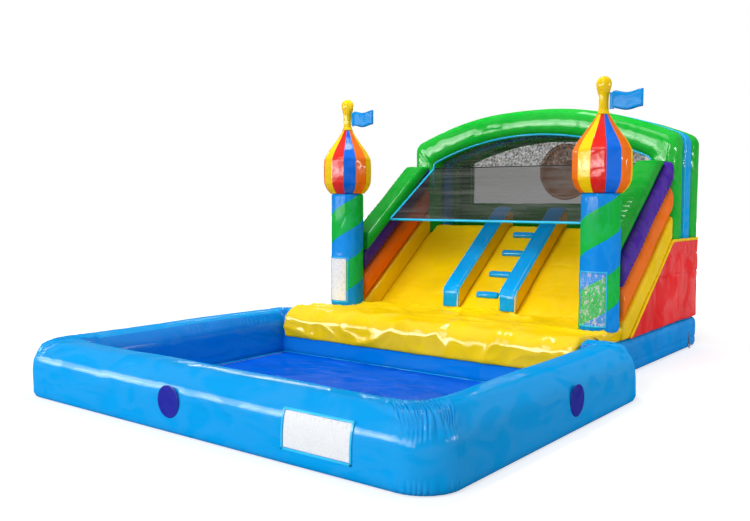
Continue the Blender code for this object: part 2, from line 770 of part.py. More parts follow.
def inner_arch(x):
    """Height of the ribs' underside, which runs straight from one point of its arch to the next."""
    step = 2 * LANE_SIDE / RIB_STEPS
    place = (x + LANE_SIDE) / step
    near = min(int(place), RIB_STEPS - 1)
    heights = [
        arch_height(i * step - LANE_SIDE, LANE_SIDE, RIB_INNER_SHOULDER, RIB_INNER_CROWN)
        for i in (near, near + 1)]
    return heights[0] + (place - near) * (heights[1] - heights[0])


def build_back_wall():
    """The low wall and window frame inside the rear rib."""
    reach = LANE_SIDE - SEAM_GAP
    foot = PLATFORM_HEIGHT + SEAM_GAP
    spring, crown = RIB_INNER_SHOULDER - RUNNING_GAP, RIB_INNER_CROWN - RUNNING_GAP
    corner = INNER_SHOULDER_RADIUS + BACK_WALL_CORNER_GAP
    frame = rounded_outline(rib_outline(reach, foot, spring, crown, corner))
    half = LANE_SIDE - WINDOW_SIDE_FRAME
    top = [(x, inner_arch(x) - WINDOW_TOP_FRAME) for x in window_columns(half)]
    window = [(half, WINDOW_SILL), (-half, WINDOW_SILL)] + top
    wall = outline_solid(
        "back_wall", [frame, window], "XZ", REAR_RIB_MIDDLE, BACK_WALL_THICKNESS)
    add_part(wall, "green")


def window_columns(half):
    count = WINDOW_CELLS[0]
    return [half * (2 * i / count - 1) for i in range(count + 1)]


def lattice(name, cells, place):
    """A flat net: cords crossing in a grid, whose grid points are put in their place by a function.

    place(u, v) takes shares of the width and height, 0 to 1, and gives a point of the net.
    """
    shape = bmesh.new()
    across, up = cells
    bmesh.ops.create_grid(shape, x_segments=across, y_segments=up, size=0.5)
    corner_a, corner_b = Vector(place(0, 0)), Vector(place(1, 1))
    cell = min(abs(corner_b.x - corner_a.x) / across, (corner_b - corner_a).length / up)
    for vertex in shape.verts:
        vertex.co = Vector(place(vertex.co.x + 0.5, vertex.co.y + 0.5))
    shape.normal_update()
    faces = list(shape.faces)
    thickness = min(NET_CORD / 2, cell / 3)
    bmesh.ops.inset_individual(shape, faces=faces, thickness=thickness, use_even_offset=True)
    bmesh.ops.delete(shape, geom=faces, context="FACES")
    mesh = bpy.data.meshes.new(name)
    shape.to_mesh(mesh)
    shape.free()
    obj = bpy.data.objects.new(name, mesh)
    bpy.context.scene.collection.objects.link(obj)
    cord = obj.modifiers.new("cord", "SOLIDIFY")
    cord.thickness = NET_THICKNESS
    cord.offset = 0
    return obj


def build_nets():
    green_inset = WALL_TUBES[3][3] + WALL_TUBES[3][2]
    reach = HALF_MODULE - green_inset - SEAM_GAP
    low, high = CANOPY_LOW, CANOPY_HIGH

    def canopy(u, v):
        return reach * (2 * u - 1), low[0] + v * (high[0] - low[0]), low[1] + v * (high[1] - low[1])

    add_part(lattice("canopy_net", CANOPY_CELLS, canopy), "net")
    half = LANE_SIDE - INNER_SHOULDER_RADIUS
    y = HOUSE_FRONT + ARCH_NET_SETBACK

    def arch(u, v):
        x = half * (2 * u - 1)
        return x, y, ARCH_NET_LOW + v * (inner_arch(x) - 2 * SEAM_GAP - ARCH_NET_LOW)

    add_part(lattice("arch_net", ARCH_NET_CELLS, arch), "net")
    side = LANE_SIDE - WINDOW_SIDE_FRAME - SEAM_GAP
    sill = WINDOW_SILL + SEAM_GAP

    def window(u, v):
        x = side * (2 * u - 1)
        top = inner_arch(x) - WINDOW_TOP_FRAME - RUNNING_GAP
        return x, REAR_RIB_MIDDLE, sill + v * (top - sill)

    add_part(lattice("window_net", WINDOW_CELLS, window), "net")
    face = REAR_RIB_MIDDLE - NET_THICKNESS / 2 - SEAM_GAP
    disc = cylinder(
        "round_panel", ROUND_PANEL_RADIUS,
        (ROUND_PANEL_X, face - ROUND_PANEL_THICKNESS, ROUND_PANEL_HEIGHT),
        (ROUND_PANEL_X, face, ROUND_PANEL_HEIGHT), "Y", 40)
    add_part(disc, "brown")


def offset_path(points, distance):
    """An open path moved to its left by a distance."""
    moved = []
    for i, point in enumerate(points):
        before = Vector(points[max(i - 1, 0)])
        after = Vector(points[min(i + 1, len(points) - 1)])
        here = Vector(point)
        into = (here - before).normalized() if i else (after - here).normalized()
        out = (after - here).normalized() if i < len(points) - 1 else into
        normal = Vector((-(into + out).y, (into + out).x)).normalized()
        square = Vector((-into.y, into.x))
        moved.append(tuple(here + normal * (distance / max(normal.dot(square), MITRE_LIMIT))))
    return moved


def build_climb():
    front = BED_FOOT - RAIL_FOOT_AHEAD
    end = HOUSE_FRONT + RAIL_TOP_REACH
    foot = LANDING_TOP + SEAM_GAP
    lift = 2 * SEAM_GAP
    top = [
        (front, foot, 0),
        (front, bed_height(front) + RAIL_RISE, RAIL_FOOT_RADIUS),
        (end, bed_height(end) + RAIL_RISE, RAIL_END_RADIUS),
    ]
    under = [
        (end, CREST_HEIGHT + lift, 0),
        (bed_place(CREST_HEIGHT), CREST_HEIGHT + lift, 0),
        (BED_FOOT, foot, 0),
    ]
    outline = rounded_outline(top + under, 5)
    ridge = outline[:-3]
    near = offset_path(ridge, SEAM_GAP)
    far = offset_path(ridge, SEAM_GAP + COVER_THICKNESS)
    band = [p for p in near if p[1] > foot] + [p for p in far[::-1] if p[1] > foot]
    band = [(far[0][0], foot)] + [(near[0][0], foot)] + band
    for (side, _), centre in zip(SIDES, RAIL_CENTRES):
        rail = outline_solid(
            side + "_rail", [outline], "YZ", centre, RAIL_WIDTH, RAIL_ROUNDING, 1)
        add_part(rail, "yellow")
        width = RAIL_WIDTH - 2 * RAIL_ROUNDING
        cover = outline_solid(side + "_rail_cover", [band], "YZ", centre, width)
        add_part(cover, "sky_blue")
    slope = math.degrees(SLOPE_ANGLE)
    for number, run in enumerate(STEP_RUNS, 1):
        y = BED_FOOT + run
        seat = (y, bed_height(y) + lift)
        outline = arc(seat, STEP_RADIUS, slope, slope + 180, 8)
        step = outline_solid(
            f"climbing_step_{number}", [outline], "YZ", STEP_CENTRE, STEP_WIDTH,
            STEP_RADIUS / 4, 1)
        add_part(step, "sky_blue")


def curved_plate(name, radius, thickness, strips, low, high):
    """A sheet bent round the front of an upright cylinder as flat strips that touch it."""
    strip = TOWER_POCKET_WIDTH / TOWER_RADIUS / TOWER_POCKET_STRIPS
    half_angle = math.degrees(strip) * strips / 2
    inner = radius / math.cos(strip / 2)
    outer = (radius + thickness) / math.cos(strip / 2)
    near = arc((0, 0), inner, -90 - half_angle, -90 + half_angle, strips)
    far = arc((0, 0), outer, -90 + half_angle, -90 - half_angle, strips)
    return outline_solid(name, [near + far], "XY", (low + high) / 2, high - low)


def build_tower(side, sign):
    """A round column, its bulb and finial, and a clear pocket, which holds a card on the left one."""
    x, y = sign * TOWER_X, TOWER_Y
    foot = LANDING_TOP + SEAM_GAP
    column = cylinder(
        side + "_tower_column", TOWER_RADIUS, (x, y, foot), (x, y, foot + TOWER_HEIGHT), "Z",
        TOWER_SIDES)
    add_part(smooth(column), "sky_blue")
    bulb = turned(side + "_tower_bulb", BULB_PROFILE, (x, y, BULB_FOOT), 24)
    add_part(bulb, "orange")
    finial = turned(side + "_tower_finial", FINIAL_PROFILE, (x, y, FINIAL_FOOT), 16)
    add_part(finial, "yellow")
    low = foot + TOWER_POCKET_FOOT
    high = low + TOWER_POCKET_HEIGHT
    radius = TOWER_RADIUS + SEAM_GAP
    if side == "left":
        card = curved_plate(
            "left_tower_card", radius, CARD_THICKNESS, TOWER_POCKET_STRIPS - 2,
            low + CARD_BORDER, high - CARD_BORDER)
        card.location = (x, y, card.location.z)
        add_part(card, "white")
        radius += CARD_THICKNESS + SEAM_GAP
    pocket = curved_plate(
        side + "_tower_pocket", radius, POCKET_THICKNESS, TOWER_POCKET_STRIPS, low, high)
    pocket.location = (x, y, pocket.location.z)
    add_part(pocket, "clear")


def flag_outline():
    """The flag seen from its side: wavy long edges, and a thin hem at the seam."""
    steps = 12
    half = FLAG_HEIGHT / 2
    places = [FLAG_SEAM_GAP + (FLAG_LENGTH - FLAG_SEAM_GAP) * i / steps for i in range(steps + 1)]
    waves = [FLAG_WAVE * math.cos(2 * math.pi * i / steps) for i in range(steps + 1)]
    top = [(u, half - FLAG_WAVE + wave) for u, wave in zip(places, waves)]
    bottom = [(u, -half + FLAG_WAVE + wave) for u, wave in zip(places, waves)]
    return bottom + top[::-1]


def finial_radius(height):
    """Radius of the finial at a height above its foot."""
    for (radius, low), (next_radius, high) in zip(FINIAL_PROFILE, FINIAL_PROFILE[1:]):
        if low <= height <= high:
            return radius + (next_radius - radius) * (height - low) / (high - low)
    return 0.0


def build_flag(side, sign):
    """A padded flag on an upright seam at the finial's side; its hem is the hinge."""
    hem_top = FLAG_RISE + FLAG_HEIGHT - FLAG_WAVE
    seam_x = sign * TOWER_X + finial_radius(hem_top) + FLAG_HINGE_PIN + RUNNING_GAP
    height = FINIAL_FOOT + FLAG_RISE + FLAG_HEIGHT / 2
    hinge = bpy.data.objects.new(side + "_flag_hinge", None)
    hinge.parent = PLAN
    hinge.location = (seam_x, TOWER_Y, height)
    PARTS.objects.link(hinge)
    flag = as_mesh(outline_solid(
        side + "_flag", [flag_outline()], "XZ", 0, FLAG_THICKNESS, FLAG_ROUNDING, 2))
    hem = box(
        side + "_flag_hem", (-FLAG_HINGE_PIN, -FLAG_HINGE_PIN / 2, -FLAG_HEIGHT / 2 + FLAG_WAVE),
        (FLAG_SEAM_GAP + FLAG_THICKNESS / 2, FLAG_HINGE_PIN / 2, FLAG_HEIGHT / 2 - FLAG_WAVE))
    add_cutter(hem)
    hem.parent = hinge
    boolean(flag, hem, "UNION")
    add_part(flag, "sky_blue", hinge)


def strap_place(sign):
    """Where the pin of an anchor's ring runs: just outside the base's side face."""
    return sign * (HALF_MODULE + SEAM_GAP + RING_WIRE + RUNNING_GAP + STRAP_EYE_WALL)


def build_anchor(side, sign):
    """A welded patch with a webbing eye, and a D-shaped ring that hangs and turns in the eye."""
    x = strap_place(sign)
    face = sign * (HALF_MODULE + SEAM_GAP)
    outer = RING_WIRE + RUNNING_GAP + STRAP_EYE_WALL
    patch = box(
        f"rear_{side}_anchor_strap",
        (min(face, face + sign * STRAP_THICKNESS), ANCHOR_Y - STRAP_WIDTH / 2, ANCHOR_HEIGHT),
        (max(face, face + sign * STRAP_THICKNESS), ANCHOR_Y + STRAP_WIDTH / 2,
         ANCHOR_HEIGHT + STRAP_PATCH))
    eye = cylinder(
        f"rear_{side}_eye", outer - SEAM_GAP, (x, ANCHOR_Y - STRAP_WIDTH / 2, ANCHOR_HEIGHT),
        (x, ANCHOR_Y + STRAP_WIDTH / 2, ANCHOR_HEIGHT), "Y", 20)
    bore = cylinder(
        f"rear_{side}_eye_bore", RING_WIRE + RUNNING_GAP,
        (x, ANCHOR_Y - STRAP_WIDTH, ANCHOR_HEIGHT), (x, ANCHOR_Y + STRAP_WIDTH, ANCHOR_HEIGHT),
        "Y", 20)
    for cutter, operation in ((eye, "UNION"), (bore, "DIFFERENCE")):
        add_cutter(cutter)
        boolean(patch, cutter, operation)
    add_part(patch, "webbing")
    hinge = bpy.data.objects.new(f"rear_{side}_ring_hinge", None)
    hinge.parent = PLAN
    hinge.location = (x, ANCHOR_Y, ANCHOR_HEIGHT)
    PARTS.objects.link(hinge)
    half = RING_WIDTH / 2
    path = [(0, -half), (0, half)] + arc((RING_REACH - half, 0), half, 90, -90, 10)
    curve = bpy.data.curves.new(f"rear_{side}_anchor_ring", "CURVE")
    curve.dimensions = "3D"
    curve.bevel_depth = RING_WIRE
    curve.bevel_resolution = 2
    spline = curve.splines.new("POLY")
    spline.points.add(len(path) - 1)
    for point, (down, along) in zip(spline.points, path):
        point.co = (0, along, -down, 1)
    spline.use_cyclic_u = True
    ring = bpy.data.objects.new(f"rear_{side}_anchor_ring", curve)
    add_part(ring, "steel", hinge)


def build_zip():
    """The deflation zip: a tape with its chain, and a slider that straddles the chain."""
    face = MODULE_BACK + SEAM_GAP
    tape = box(
        "zip_tape", (-ZIP_LENGTH / 2, face, ZIP_HEIGHT - ZIP_TAPE_WIDTH / 2),
        (ZIP_LENGTH / 2, face + ZIP_TAPE_THICKNESS, ZIP_HEIGHT + ZIP_TAPE_WIDTH / 2))
    chain_back = face + ZIP_TAPE_THICKNESS + ZIP_CHAIN_DEPTH
    reach = (ZIP_LENGTH - ZIP_STOP_MARGIN) / 2
    chain = box(
        "zip_chain", (-reach, face, ZIP_HEIGHT - ZIP_CHAIN_WIDTH / 2),
        (reach, chain_back, ZIP_HEIGHT + ZIP_CHAIN_WIDTH / 2))
    add_cutter(chain)
    boolean(tape, chain, "UNION")
    add_part(tape, "webbing")
    x = -ZIP_LENGTH / 2 + ZIP_STOP_MARGIN + SLIDER_LENGTH / 2
    low = face + ZIP_TAPE_THICKNESS + SEAM_GAP
    slider = bevel(box(
        "zip_slider", (x - SLIDER_LENGTH / 2, low, ZIP_HEIGHT - SLIDER_WIDTH / 2),
        (x + SLIDER_LENGTH / 2, low + SLIDER_DEPTH, ZIP_HEIGHT + SLIDER_WIDTH / 2)),
        SLIDER_ROUNDING, 1)
    high = low + SLIDER_DEPTH - SLIDER_ROUNDING - PULL_THICKNESS / 4
    pull = box(
        "zip_pull", (x - PULL_WIDTH / 2, high - PULL_THICKNESS, ZIP_HEIGHT - PULL_LENGTH),
        (x + PULL_WIDTH / 2, high, ZIP_HEIGHT - SLIDER_WIDTH / 4))
    groove = box(
        "zip_groove", (x - SLIDER_LENGTH, face, ZIP_HEIGHT - ZIP_CHAIN_WIDTH / 2 - RUNNING_GAP),
        (x + SLIDER_LENGTH, chain_back + RUNNING_GAP / 3,
         ZIP_HEIGHT + ZIP_CHAIN_WIDTH / 2 + RUNNING_GAP))
    for cutter, operation in ((pull, "UNION"), (groove, "DIFFERENCE")):
        add_cutter(cutter)
        boolean(slider, cutter, operation)
    add_part(slider, "steel")


def build_inlet():
    """The collar on the base's rear face that the blower's hose is strapped to."""
    face = MODULE_BACK + SEAM_GAP
    outer = INLET_BORE_RADIUS + INLET_WALL
    collar = cylinder(
        "inlet_collar", outer + INLET_FLANGE, (INLET_X, face, INLET_HEIGHT),
        (INLET_X, face + INLET_FLANGE_THICKNESS, INLET_HEIGHT), "Y", 32)
    sleeve = cylinder(
        "inlet_sleeve", outer, (INLET_X, face, INLET_HEIGHT),
        (INLET_X, MODULE_BACK + INLET_LENGTH, INLET_HEIGHT), "Y", 32)
    bore = cylinder(
        "inlet_bore", INLET_BORE_RADIUS, (INLET_X, face - CUT_MARGIN, INLET_HEIGHT),
        (INLET_X, MODULE_BACK + INLET_LENGTH + CUT_MARGIN, INLET_HEIGHT), "Y", 32)
    for cutter, operation in ((sleeve, "UNION"), (bore, "DIFFERENCE")):
        add_cutter(cutter)
        boolean(collar, cutter, operation)
    add_part(collar, "webbing")


def main():
    build_pool()
    build_pool_signs()
    build_base()
    build_landing()
    build_bed()
    build_panels()
    build_side_walls()
    build_ribs()
    build_back_wall()
    build_nets()
    build_climb()
    for side, sign in SIDES:
        build_tower(side, sign)
        build_flag(side, sign)
        build_anchor(side, sign)
    build_zip()
    build_inlet()


main()
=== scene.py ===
"""Looks of the inflatable slide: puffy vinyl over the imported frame, nets, signs, stage and camera."""

import math

import bmesh
import bpy
import numpy as np
from bpy.props import FloatProperty, FloatVectorProperty, PointerProperty
from mathutils import Matrix, Vector


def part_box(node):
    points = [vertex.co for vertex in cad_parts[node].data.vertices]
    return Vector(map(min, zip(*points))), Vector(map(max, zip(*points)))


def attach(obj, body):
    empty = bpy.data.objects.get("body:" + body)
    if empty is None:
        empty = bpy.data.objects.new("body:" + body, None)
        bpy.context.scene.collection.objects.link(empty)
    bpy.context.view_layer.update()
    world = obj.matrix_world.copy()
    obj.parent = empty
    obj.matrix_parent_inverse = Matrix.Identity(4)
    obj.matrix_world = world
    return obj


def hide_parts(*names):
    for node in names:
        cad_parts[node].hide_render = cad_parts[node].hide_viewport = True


bl_info = {
    "name": "Inflatable slide",
    "version": (1, 0, 0),
    "blender": (4, 5, 0),
    "location": "3D View > Sidebar > Slide",
    "description": "Dresses the packed frame of an inflatable slide with a bathing pool",
    "category": "Object",
}

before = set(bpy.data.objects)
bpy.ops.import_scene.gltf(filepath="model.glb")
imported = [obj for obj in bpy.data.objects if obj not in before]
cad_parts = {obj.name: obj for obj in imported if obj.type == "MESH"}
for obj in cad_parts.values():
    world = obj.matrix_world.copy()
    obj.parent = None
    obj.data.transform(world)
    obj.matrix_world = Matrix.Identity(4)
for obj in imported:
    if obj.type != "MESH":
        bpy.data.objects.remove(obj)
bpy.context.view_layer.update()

# The plan of the source: x = 0 in the middle, y = 0 at the pool's front face, z = 0 on the ground.
# Its origin lies here in the frame.
SEAM = 0.0003
PLAN_X = -0.00215
PLAN_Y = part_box("pool_wall")[0].y
HALF_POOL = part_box("pool_wall")[1].x - PLAN_X
POOL_LENGTH = 3.16
POOL_WALL = 0.42
POOL_HEIGHT = 0.46
HALF_MODULE = 1.65
LANE_SIDE = 1.37
WALL_WIDTH = 0.28
MODULE_BACK = 5.99
BASE_TOP = 0.3413
LANDING_TOP = 0.4513
HOUSE_FRONT = 5.10
PLATFORM = 1.225
DECK_DEPTH = 0.125
SLOPE = 0.765
SLOPE_ANGLE = math.atan(SLOPE)
BED_FOOT = HOUSE_FRONT - (PLATFORM - LANDING_TOP) / SLOPE
CREST = 1.325
BED_BACK = 5.40
WALL_START = 3.7603
RAIL_MIDDLES = (-0.42, 0.28)
RAIL_DEPTH = 0.24
TUBE_CEILING = 2.05
INNER_SPRING, INNER_CROWN = 2.08, 2.385
OUTER_SPRING, OUTER_CROWN = 2.33, 2.69
WINDOW_SILL = 1.60
WINDOW_SIDE = LANE_SIDE - 0.18
REAR_RIB_MIDDLE = 5.825
TOWER_X = 1.485
TOWER_Y = 3.58
TOWER_RADIUS = 0.18
TOWER_FOOT = LANDING_TOP + SEAM
COLUMN_TOP = 1.7016
BULB_FOOT = 1.7019
FINIAL_FOOT = BULB_FOOT + 0.7003
GORES = 12
TOWER_POCKET_HALF, TOWER_POCKET_RISE = (0.135, 0.25), 0.30
SIGN_HEIGHT = 0.23
SIGN_X, SIGN_HALF = 1.22, (0.28, 0.13)
FRONT_PATCH_X, SIDE_PATCH_Y = -0.14, 1.80
ZIP_HEIGHT = 0.72
WALL_FOOT_ROUNDING, WALL_TOP_ROUNDING = 0.04, 0.16


def plan(points):
    """Points of the plan, as an (n, 3) array in the frame."""
    return np.asarray(points, float) + (PLAN_X, PLAN_Y, 0.0)


def bed_height(y):
    return PLATFORM + SLOPE * (y - HOUSE_FRONT)


def bed_place(height):
    """The y at which the slope has this height."""
    return HOUSE_FRONT + (height - PLATFORM) / SLOPE


# Meshes from arrays of points.


def new_object(name, points, faces, smooth=True):
    mesh = bpy.data.meshes.new(name)
    mesh.from_pydata(plan(points).tolist(), [], faces)
    mesh.validate()
    shape = bmesh.new()
    shape.from_mesh(mesh)
    bmesh.ops.recalc_face_normals(shape, faces=shape.faces)
    shape.to_mesh(mesh)
    shape.free()
    obj = bpy.data.objects.new(name, mesh)
    bpy.context.scene.collection.objects.link(obj)
    if smooth:
        mesh.shade_smooth()
    return obj


def grid_faces(rows, columns, closed_rows=False, closed_columns=False):
    """Quads of a grid of points, which may run round on itself either way."""
    faces = []
    for i in range(rows if closed_rows else rows - 1):
        for j in range(columns if closed_columns else columns - 1):
            here, above, after = i * columns, (i + 1) % rows * columns, (j + 1) % columns
            faces.append((here + j, here + after, above + after, above + j))
    return faces


def vertex_normals(points, faces):
    """Area-weighted normals of quads and triangles, which point outwards on a closed body."""
    normals = np.zeros_like(points)
    volume = 0.0
    for size in (3, 4):
        chosen = np.array([f for f in faces if len(f) == size], int)
        if not len(chosen):
            continue
        a, b = points[chosen[:, 2]] - points[chosen[:, 0]], points[chosen[:, -1]] - points[chosen[:, 1]]
        if size == 3:
            a, b = points[chosen[:, 1]] - points[chosen[:, 0]], points[chosen[:, 2]] - points[chosen[:, 0]]
        across = np.cross(a, b) / 2
        volume += float((across * points[chosen[:, 0]]).sum())
        for k in range(size):
            np.add.at(normals, chosen[:, k], across)
    lengths = np.linalg.norm(normals, axis=1)
    normals /= np.maximum(lengths, 1e-12)[:, None]
    return normals if volume >= 0 else -normals


# Soft relief, worked out from a point's place so that every run gives the same.


def waves(points, size, seed, octaves=3):
    """Smooth lumps of about this size, in metres or one size an axis, from about -1 to 1."""
    source = np.random.default_rng(seed)
    scaled = np.asarray(points, float) / np.asarray(size, float)
    total = np.zeros(len(scaled))
    weight = 1.0
    for octave in range(octaves):
        ways = source.normal(size=(7, 3))
        ways /= np.linalg.norm(ways, axis=1)[:, None]
        starts = source.uniform(0, 2 * math.pi, 7)
        total += weight * np.sin(scaled @ ways.T * math.pi * 1.9 ** octave + starts).sum(1) / 3.2
        weight *= 0.55
    return total


def creases(points, size, seed, sharpness=5.0):
    """Thin valleys where the lumps change sign: 0 between them and down to -1 in them."""
    return -np.exp(-sharpness * np.abs(waves(points, size, seed, 2)))


def fade(values, start, end):
    """0 before start, 1 after end and smooth between them; start may be the larger one."""
    share = np.clip((np.asarray(values, float) - start) / (end - start), 0, 1)
    return share * share * (3 - 2 * share)


def spaced(half, rounding, cells, steps=3):
    """Places from -half to half: steps cells over each rounded edge, the others even between them."""
    rounding = min(rounding, 0.98 * half)
    edge = [rounding * (1 - math.cos(math.pi / 2 * i / steps)) for i in range(steps)]
    inner = np.linspace(-half + rounding, half - rounding, max(cells, 1) + 1)
    return np.concatenate([np.array(edge) - half, inner, (half - np.array(edge))[::-1]])


def box_shell(places):
    """Points and quads on the skin of a block, whose grid lines lie at these places of X, Y and Z."""
    counts = [len(p) - 1 for p in places]
    index, points, faces = {}, [], []

    def corner(i, j, k):
        key = (i, j, k)
        if key not in index:
            index[key] = len(points)
            points.append((places[0][i], places[1][j], places[2][k]))
        return index[key]

    for axis in range(3):
        first, second = (axis + 1) % 3, (axis + 2) % 3
        for end in (0, counts[axis]):
            for a in range(counts[first]):
                for b in range(counts[second]):
                    face = []
                    for da, db in ((0, 0), (1, 0), (1, 1), (0, 1)):
                        place = [0, 0, 0]
                        place[axis], place[first], place[second] = end, a + da, b + db
                        face.append(corner(*place))
                    faces.append(tuple(face if end else face[::-1]))
    return np.array(points), faces


def rounded(points, half, rounding):
    """Points on a block's skin moved onto the same block with rounded edges."""
    half = np.asarray(half, float)
    reach = np.minimum(rounding, 0.98 * half)
    core = np.clip(points, -(half - reach), half - reach)
    away = (points - core) / reach
    lengths = np.maximum(np.linalg.norm(away, axis=1), 1e-9)
    return core + away / lengths[:, None] * reach


def cushion(name, half, cells, rounding, warp, relief=None):
    """A rounded block, bent into place by warp(points) and then moved along its normals by relief.

    rounding is one length or one an axis. relief(points, before) takes the bent points and the
    straight ones, and gives metres.
    """
    rounding = np.broadcast_to(rounding, 3)
    places = [spaced(h, r, n) for h, r, n in zip(half, rounding, cells)]
    points, faces = box_shell(places)
    before = rounded(points, half, rounding)
    bent = warp(before)
    if relief is not None:
        bent = bent + vertex_normals(bent, faces) * relief(bent, before)[:, None]
    return new_object(name, bent, faces)


def loft(name, rows, closed=False, relief=None):
    """A skin through closed loops of equally many points; open runs end in a fan of triangles."""
    rows = [np.asarray(row, float) for row in rows]
    count, width = len(rows), len(rows[0])
    points = np.concatenate(rows)
    faces = grid_faces(count, width, closed, True)
    if not closed:
        points = np.concatenate([points, [rows[0].mean(0)], [rows[-1].mean(0)]])
        near, far = count * width, count * width + 1
        last = (count - 1) * width
        faces += [(near, (j + 1) % width, j) for j in range(width)]
        faces += [(far, last + j, last + (j + 1) % width) for j in range(width)]
    if relief is not None:
        points = points + vertex_normals(points, faces) * relief(points)[:, None]
    return new_object(name, points, faces)


def tube(name, path, radius, sides=8, closed=False):
    """Piping, thread or hem along a path."""
    path = [Vector(p) for p in path]
    count = len(path)
    rows = []
    normal = None
    for i, point in enumerate(path):
        before = path[i - 1] if i or closed else point
        after = path[(i + 1) % count] if i < count - 1 or closed else point
        along = (after - before).normalized()
        if normal is None:
            guess = Vector((0, 0, 1)) if abs(along.z) < 0.9 else Vector((0, 1, 0))
            normal = along.cross(guess).normalized()
        normal = (normal - along * normal.dot(along)).normalized()
        side = along.cross(normal)
        size = radius
        if not closed and i in (0, count - 1):
            size = radius * 0.6
        ring = []
        for k in range(sides):
            turn = 2 * math.pi * k / sides
            ring.append(point + normal * size * math.cos(turn) + side * size * math.sin(turn))
        rows.append([tuple(p) for p in ring])
    return loft(name, rows, closed)


def run_of(path):
    """How far along a path each of its points lies."""
    return np.concatenate([[0], np.cumsum(np.linalg.norm(np.diff(path, axis=0), axis=1))])


def resampled(path, count, closed=False):
    """A path of so many evenly spaced points along these ones."""
    path = np.asarray(path, float)
    if closed:
        path = np.concatenate([path, path[:1]])
    run = run_of(path)
    wanted = np.linspace(0, run[-1], count + 1)[:-1] if closed else np.linspace(0, run[-1], count)
    return np.stack([np.interp(wanted, run, path[:, k]) for k in range(path.shape[1])], 1)


def outline_of(corners, steps=8):
    """A closed outline through (u, v, radius) corners, each turned into an arc."""
    outline = []
    count = len(corners)
    for i, (u, v, radius) in enumerate(corners):
        here = Vector((u, v))
        if not radius:
            outline.append((u, v))
            continue
        before = Vector(corners[i - 1][:2]) - here
        after = Vector(corners[(i + 1) % count][:2]) - here
        half = before.angle(after) / 2
        reach = min(radius / math.tan(half), 0.48 * min(before.length, after.length))
        radius = reach * math.tan(half)
        before.normalize()
        after.normalize()
        centre = here + (before + after).normalized() * (radius / math.sin(half))
        first, last = here + before * reach - centre, here + after * reach - centre
        turn = first.angle_signed(last)
        for step in range(steps + 1):
            outline.append(tuple(centre + Matrix.Rotation(-turn * step / steps, 2) @ first))
    return outline


def circle(sides):
    """The angles of so many points round a circle."""
    return np.linspace(0, 2 * math.pi, sides + 1)[:-1]


def turned(name, profile, centre, sides, relief=None, axis="Z", closed=False):
    """A piece turned about an axis, from (radius, distance along it) points."""
    turns, rows = circle(sides), []
    along = "XYZ".index(axis)
    for radius, reach in profile:
        place = [radius * np.cos(turns), radius * np.sin(turns)]
        place.insert(along, np.full(sides, reach))
        rows.append(np.column_stack(place) + centre)
    return loft(name, rows, closed, relief)


# Finishes.


class Value:
    """A socket of a finish; arithmetic on it adds Math nodes."""

    def __init__(self, finish, socket):
        self.finish = finish
        self.socket = socket

    def maths(self, operation, *terms):
        return self.finish.maths(operation, *terms)

    def __add__(self, other):
        return self.maths("ADD", self, other)

    def __sub__(self, other):
        return self.maths("SUBTRACT", self, other)

    def __rsub__(self, other):
        return self.maths("SUBTRACT", other, self)

    def __mul__(self, other):
        return self.maths("MULTIPLY", self, other)


class Nodes:
    """The nodes of a material or of the world."""

    def __init__(self, owner):
        owner.use_nodes = True
        self.tree = owner.node_tree

    def node(self, kind, settings=None, sockets=None, output=0):
        """Adds a node: its settings first, then its sockets' values or links."""
        made = self.tree.nodes.new(kind)
        for key, setting in (settings or {}).items():
            setattr(made, key, setting)
        for key, value in (sockets or {}).items():
            self.put(made.inputs[key], value)
        return Value(self, made.outputs[output])

    def maths(self, operation, *terms):
        return self.node("ShaderNodeMath", {"operation": operation}, dict(enumerate(terms)))

    def put(self, socket, value):
        if isinstance(value, Value):
            self.tree.links.new(value.socket, socket)
        else:
            socket.default_value = value


class Finish(Nodes):
    """A procedural material of one of this object's films, fabrics, cords or metals."""

    def __init__(self, name):
        self.material = bpy.data.materials.new(name)
        super().__init__(self.material)
        self.shader = self.tree.nodes["Principled BSDF"]

    def set(self, **sockets):
        for key, value in sockets.items():
            self.put(self.shader.inputs[key.replace("_", " ")], value)

    def place(self, stretch=(1, 1, 1)):
        """A point of the object in metres, stretched along the axes."""
        where = self.node("ShaderNodeTexCoord", output="Object")
        return self.node(
            "ShaderNodeVectorMath", {"operation": "MULTIPLY"}, {0: where, 1: stretch})

    def noise(self, scale, detail=3.0, stretch=(1, 1, 1), twist=0.0):
        return self.node(
            "ShaderNodeTexNoise", {}, {
                "Vector": self.place(stretch), "Scale": scale, "Detail": detail,
                "Distortion": twist})

    def ramp(self, value, low, high):
        """The value's run from low to high, stretched to 0..1 and held there."""
        return self.node(
            "ShaderNodeMapRange", {"clamp": True}, {
                "Value": value, "From Min": low, "From Max": high})

    def mix(self, share, first, second):
        return self.node(
            "ShaderNodeMix", {"data_type": "RGBA"}, {0: share, 6: first, 7: second}, 2)

    def bump(self, height, distance, strength=1.0):
        return self.node("ShaderNodeBump", {}, {
            "Height": height, "Distance": distance, "Strength": strength})


def tone(colour, share):
    """A colour made lighter (share above 0) or darker (below 0)."""
    target = 1.0 if share > 0 else 0.0
    return (*[c + (target - c) * abs(share) for c in colour[:3]], 1.0)


FINISHES = {}
COAT_IOR = 2.4


def made_once(make):
    """A maker of finishes that gives the same one whenever the same name is asked for."""

    def given(name, *terms, **options):
        if name not in FINISHES:
            FINISHES[name] = make(name, *terms, **options)
        return FINISHES[name]

    return given


